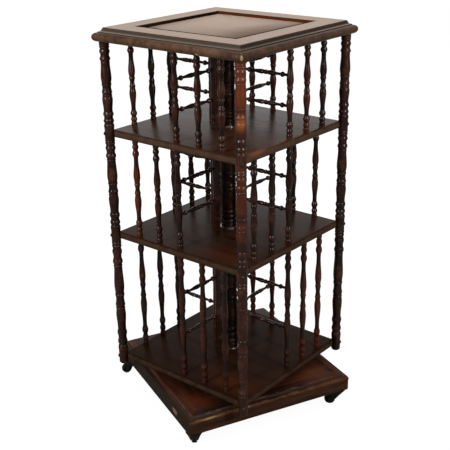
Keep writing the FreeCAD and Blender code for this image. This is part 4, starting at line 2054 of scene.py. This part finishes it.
@dataclass
class Studio:
    """Floor, light and camera.

    Attributes:
        azimuth: Direction of the camera round the tower, in degrees from the front.
        elevation: Height of the camera over the horizon, in degrees.
        roll: Tilt of the camera, in degrees.
        distance: Distance of the camera from the point it looks at.
        aim_side: How far that point lies to the camera's right of the axis.
        aim_height: Height of that point.
        lens: Focal length, in millimetres.
        sensor: Width of the camera's sensor, in millimetres.
        ambient: Strength of the light from all round, which polish mirrors on the dark side.
        floor_size: Width of the floor.
        floor_shade: Brightness of the floor's own colour, which takes the shadow.
        floor_glow: Whiteness of the floor under the tower, before light falls on it.
        floor_fade: Distances from the axis between which that rises to full white.
        floor_mirror: Whiteness of the floor beyond the tower, as polish mirrors it.
        dark_side: Whiteness of the rest of the floor, as polish mirrors it.
        beyond: Cosines, from the camera's heading, between which the dark side turns white.
    """

    azimuth: float = 39.75
    elevation: float = 21.38
    roll: float = -0.91
    distance: float = 2.589
    aim_side: float = -0.0118
    aim_height: float = 0.5357
    lens: float = 71.69
    sensor: float = 36.0
    ambient: float = 0.15
    floor_size: float = 40.0
    floor_shade: float = 0.15
    floor_glow: float = 0.95
    floor_fade: tuple[float, float] = (0.5, 1.6)
    floor_mirror: float = 0.3
    dark_side: float = 0.06
    beyond: tuple[float, float] = (0.55, 0.88)

    def build(self) -> None:
        """Builds the floor, the lights and the camera."""
        bpy.context.scene.view_settings.view_transform = "Standard"
        self._world()
        self._floor()
        self._lights()
        self._camera()

    def _seen(self, graph: Graph, place: Socket, mirrored: float) -> Socket:
        """How white the surroundings look: white to the camera, and to a reflection beyond the tower only.

        Args:
            graph: The graph of the floor or of the surroundings.
            place: Output with the point or the direction that is looked at.
            mirrored: How white a reflection shows them beyond the tower.

        Returns:
            Output from 0, dark, to 1, white.
        """
        around = math.radians(self.azimuth)
        ahead = (-math.sin(around), math.cos(around), 0)
        heading = graph.vector("NORMALIZE", place).outputs["Vector"]
        facing = graph.vector("DOT_PRODUCT", heading, ahead).outputs["Value"]
        side = graph.ramp(facing, *self.beyond, self.dark_side, mirrored)
        path = graph.add("ShaderNodeLightPath")
        shiny = graph.math("MAXIMUM", path.outputs["Is Glossy Ray"], path.outputs["Is Transmission Ray"])
        return graph.math("MAXIMUM", path.outputs["Is Camera Ray"], graph.math("MULTIPLY", shiny, side))

    def _world(self) -> None:
        """White surroundings that light the tower softly."""
        world = bpy.data.worlds.new("white_surroundings")
        bpy.context.scene.world = world
        world.use_nodes = True
        graph = Graph(world.node_tree)
        back = graph.add("ShaderNodeBackground")
        heading = graph.add("ShaderNodeTexCoord").outputs["Generated"]
        strength = graph.math("MAXIMUM", self._seen(graph, heading, 1.0), self.ambient)
        graph.fill(back, {"Color": (1, 1, 1, 1), "Strength": strength})
        graph.end("ShaderNodeOutputWorld", back.outputs[0])

    def _floor(self) -> None:
        """Plain white floor that keeps a soft shadow."""
        deselect_all()
        bpy.ops.mesh.primitive_plane_add(size=self.floor_size)
        floor = bpy.context.object
        floor.name = "studio_floor"
        made, graph, place = new_material("white_floor")
        plain = graph.add("ShaderNodeBsdfDiffuse")
        graph.fill(plain, {"Color": (self.floor_shade, self.floor_shade, self.floor_shade, 1)})
        away = graph.vector("LENGTH", place).outputs["Value"]
        white = graph.ramp(away, *self.floor_fade, self.floor_glow, 1.0)
        glow = graph.add("ShaderNodeEmission")
        seen = self._seen(graph, place, self.floor_mirror)
        graph.fill(glow, {"Strength": graph.math("MULTIPLY", seen, white)})
        both = graph.add("ShaderNodeAddShader")
        graph.put(plain.outputs[0], both.inputs[0])
        graph.put(glow.outputs[0], both.inputs[1])
        graph.end("ShaderNodeOutputMaterial", both.outputs[0])
        floor.data.materials.append(made)

    def _lights(self) -> None:
        """A broad light overhead, a tall one on either side of the camera and a soft one behind."""
        self._area("overhead_light", place=(0.1, 0.0, 2.5), aim=(0, 0, 0), size=(1.4, 1.4), power=14.0)
        self._area("left_window", place=(-0.24, -2.7, 1.9), aim=(0, 0, 0.7), size=(0.4, 1.7), power=36.0)
        self._area("right_window", place=(2.7, -0.24, 1.9), aim=(0, 0, 0.7), size=(0.4, 1.7), power=30.0)
        fill = self._area(
            "rear_fill", place=(-1.73, 2.08, 1.0), aim=(0, 0, 0.6), size=(2.4, 1.8), power=16.0
        )
        fill.visible_camera = False
        fill.visible_glossy = False

    @staticmethod
    def _area(
        name: str, place: Point, aim: Point, size: tuple[float, float], power: float
    ) -> bpy.types.Object:
        """Adds one soft light.

        Args:
            name: Name of the light.
            place: Where it stands.
            aim: Point that it faces.
            size: Width and height of its face.
            power: Strength in watts.

        Returns:
            The lamp.
        """
        light = bpy.data.lights.new(name, "AREA")
        light.shape = "RECTANGLE"
        light.size, light.size_y = size
        light.energy = power
        lamp = bpy.data.objects.new(name, light)
        lamp.location = place
        lamp.rotation_euler = (Vector(aim) - Vector(place)).to_track_quat("-Z", "Y").to_euler()
        bpy.context.scene.collection.objects.link(lamp)
        return lamp

    def _camera(self) -> None:
        """Camera at the photograph's view."""
        around, above = math.radians(self.azimuth), math.radians(self.elevation)
        level = math.cos(above)
        back = Vector((math.sin(around) * level, -math.cos(around) * level, math.sin(above)))
        across = Vector((math.cos(around), math.sin(around), 0))
        right = Matrix.Rotation(math.radians(self.roll), 3, back) @ across
        turn = Matrix((right, back.cross(right), back)).transposed().to_4x4()
        aim = Vector((0, 0, self.aim_height)) + self.aim_side * across
        data = bpy.data.cameras.new("camera")
        data.lens = self.lens
        data.sensor_width = self.sensor
        camera = bpy.data.objects.new("camera", data)
        camera.matrix_world = Matrix.Translation(aim + back * self.distance) @ turn
        bpy.context.scene.collection.objects.link(camera)
        bpy.context.scene.camera = camera


def main() -> None:
    """Builds every sub-assembly in order, then the studio."""
    logging.basicConfig(level=logging.INFO, format="%(name)s: %(message)s")
    finishes = Finishes()
    for assembly in (
        Top(finishes),
        Shelves(finishes),
        CornerPosts(finishes),
        Spindles(finishes),
        Column(finishes),
        Base(finishes),
        Castors(finishes),
        Studio(),
    ):
        assembly.build()


if __name__ == "__main__":
    main()
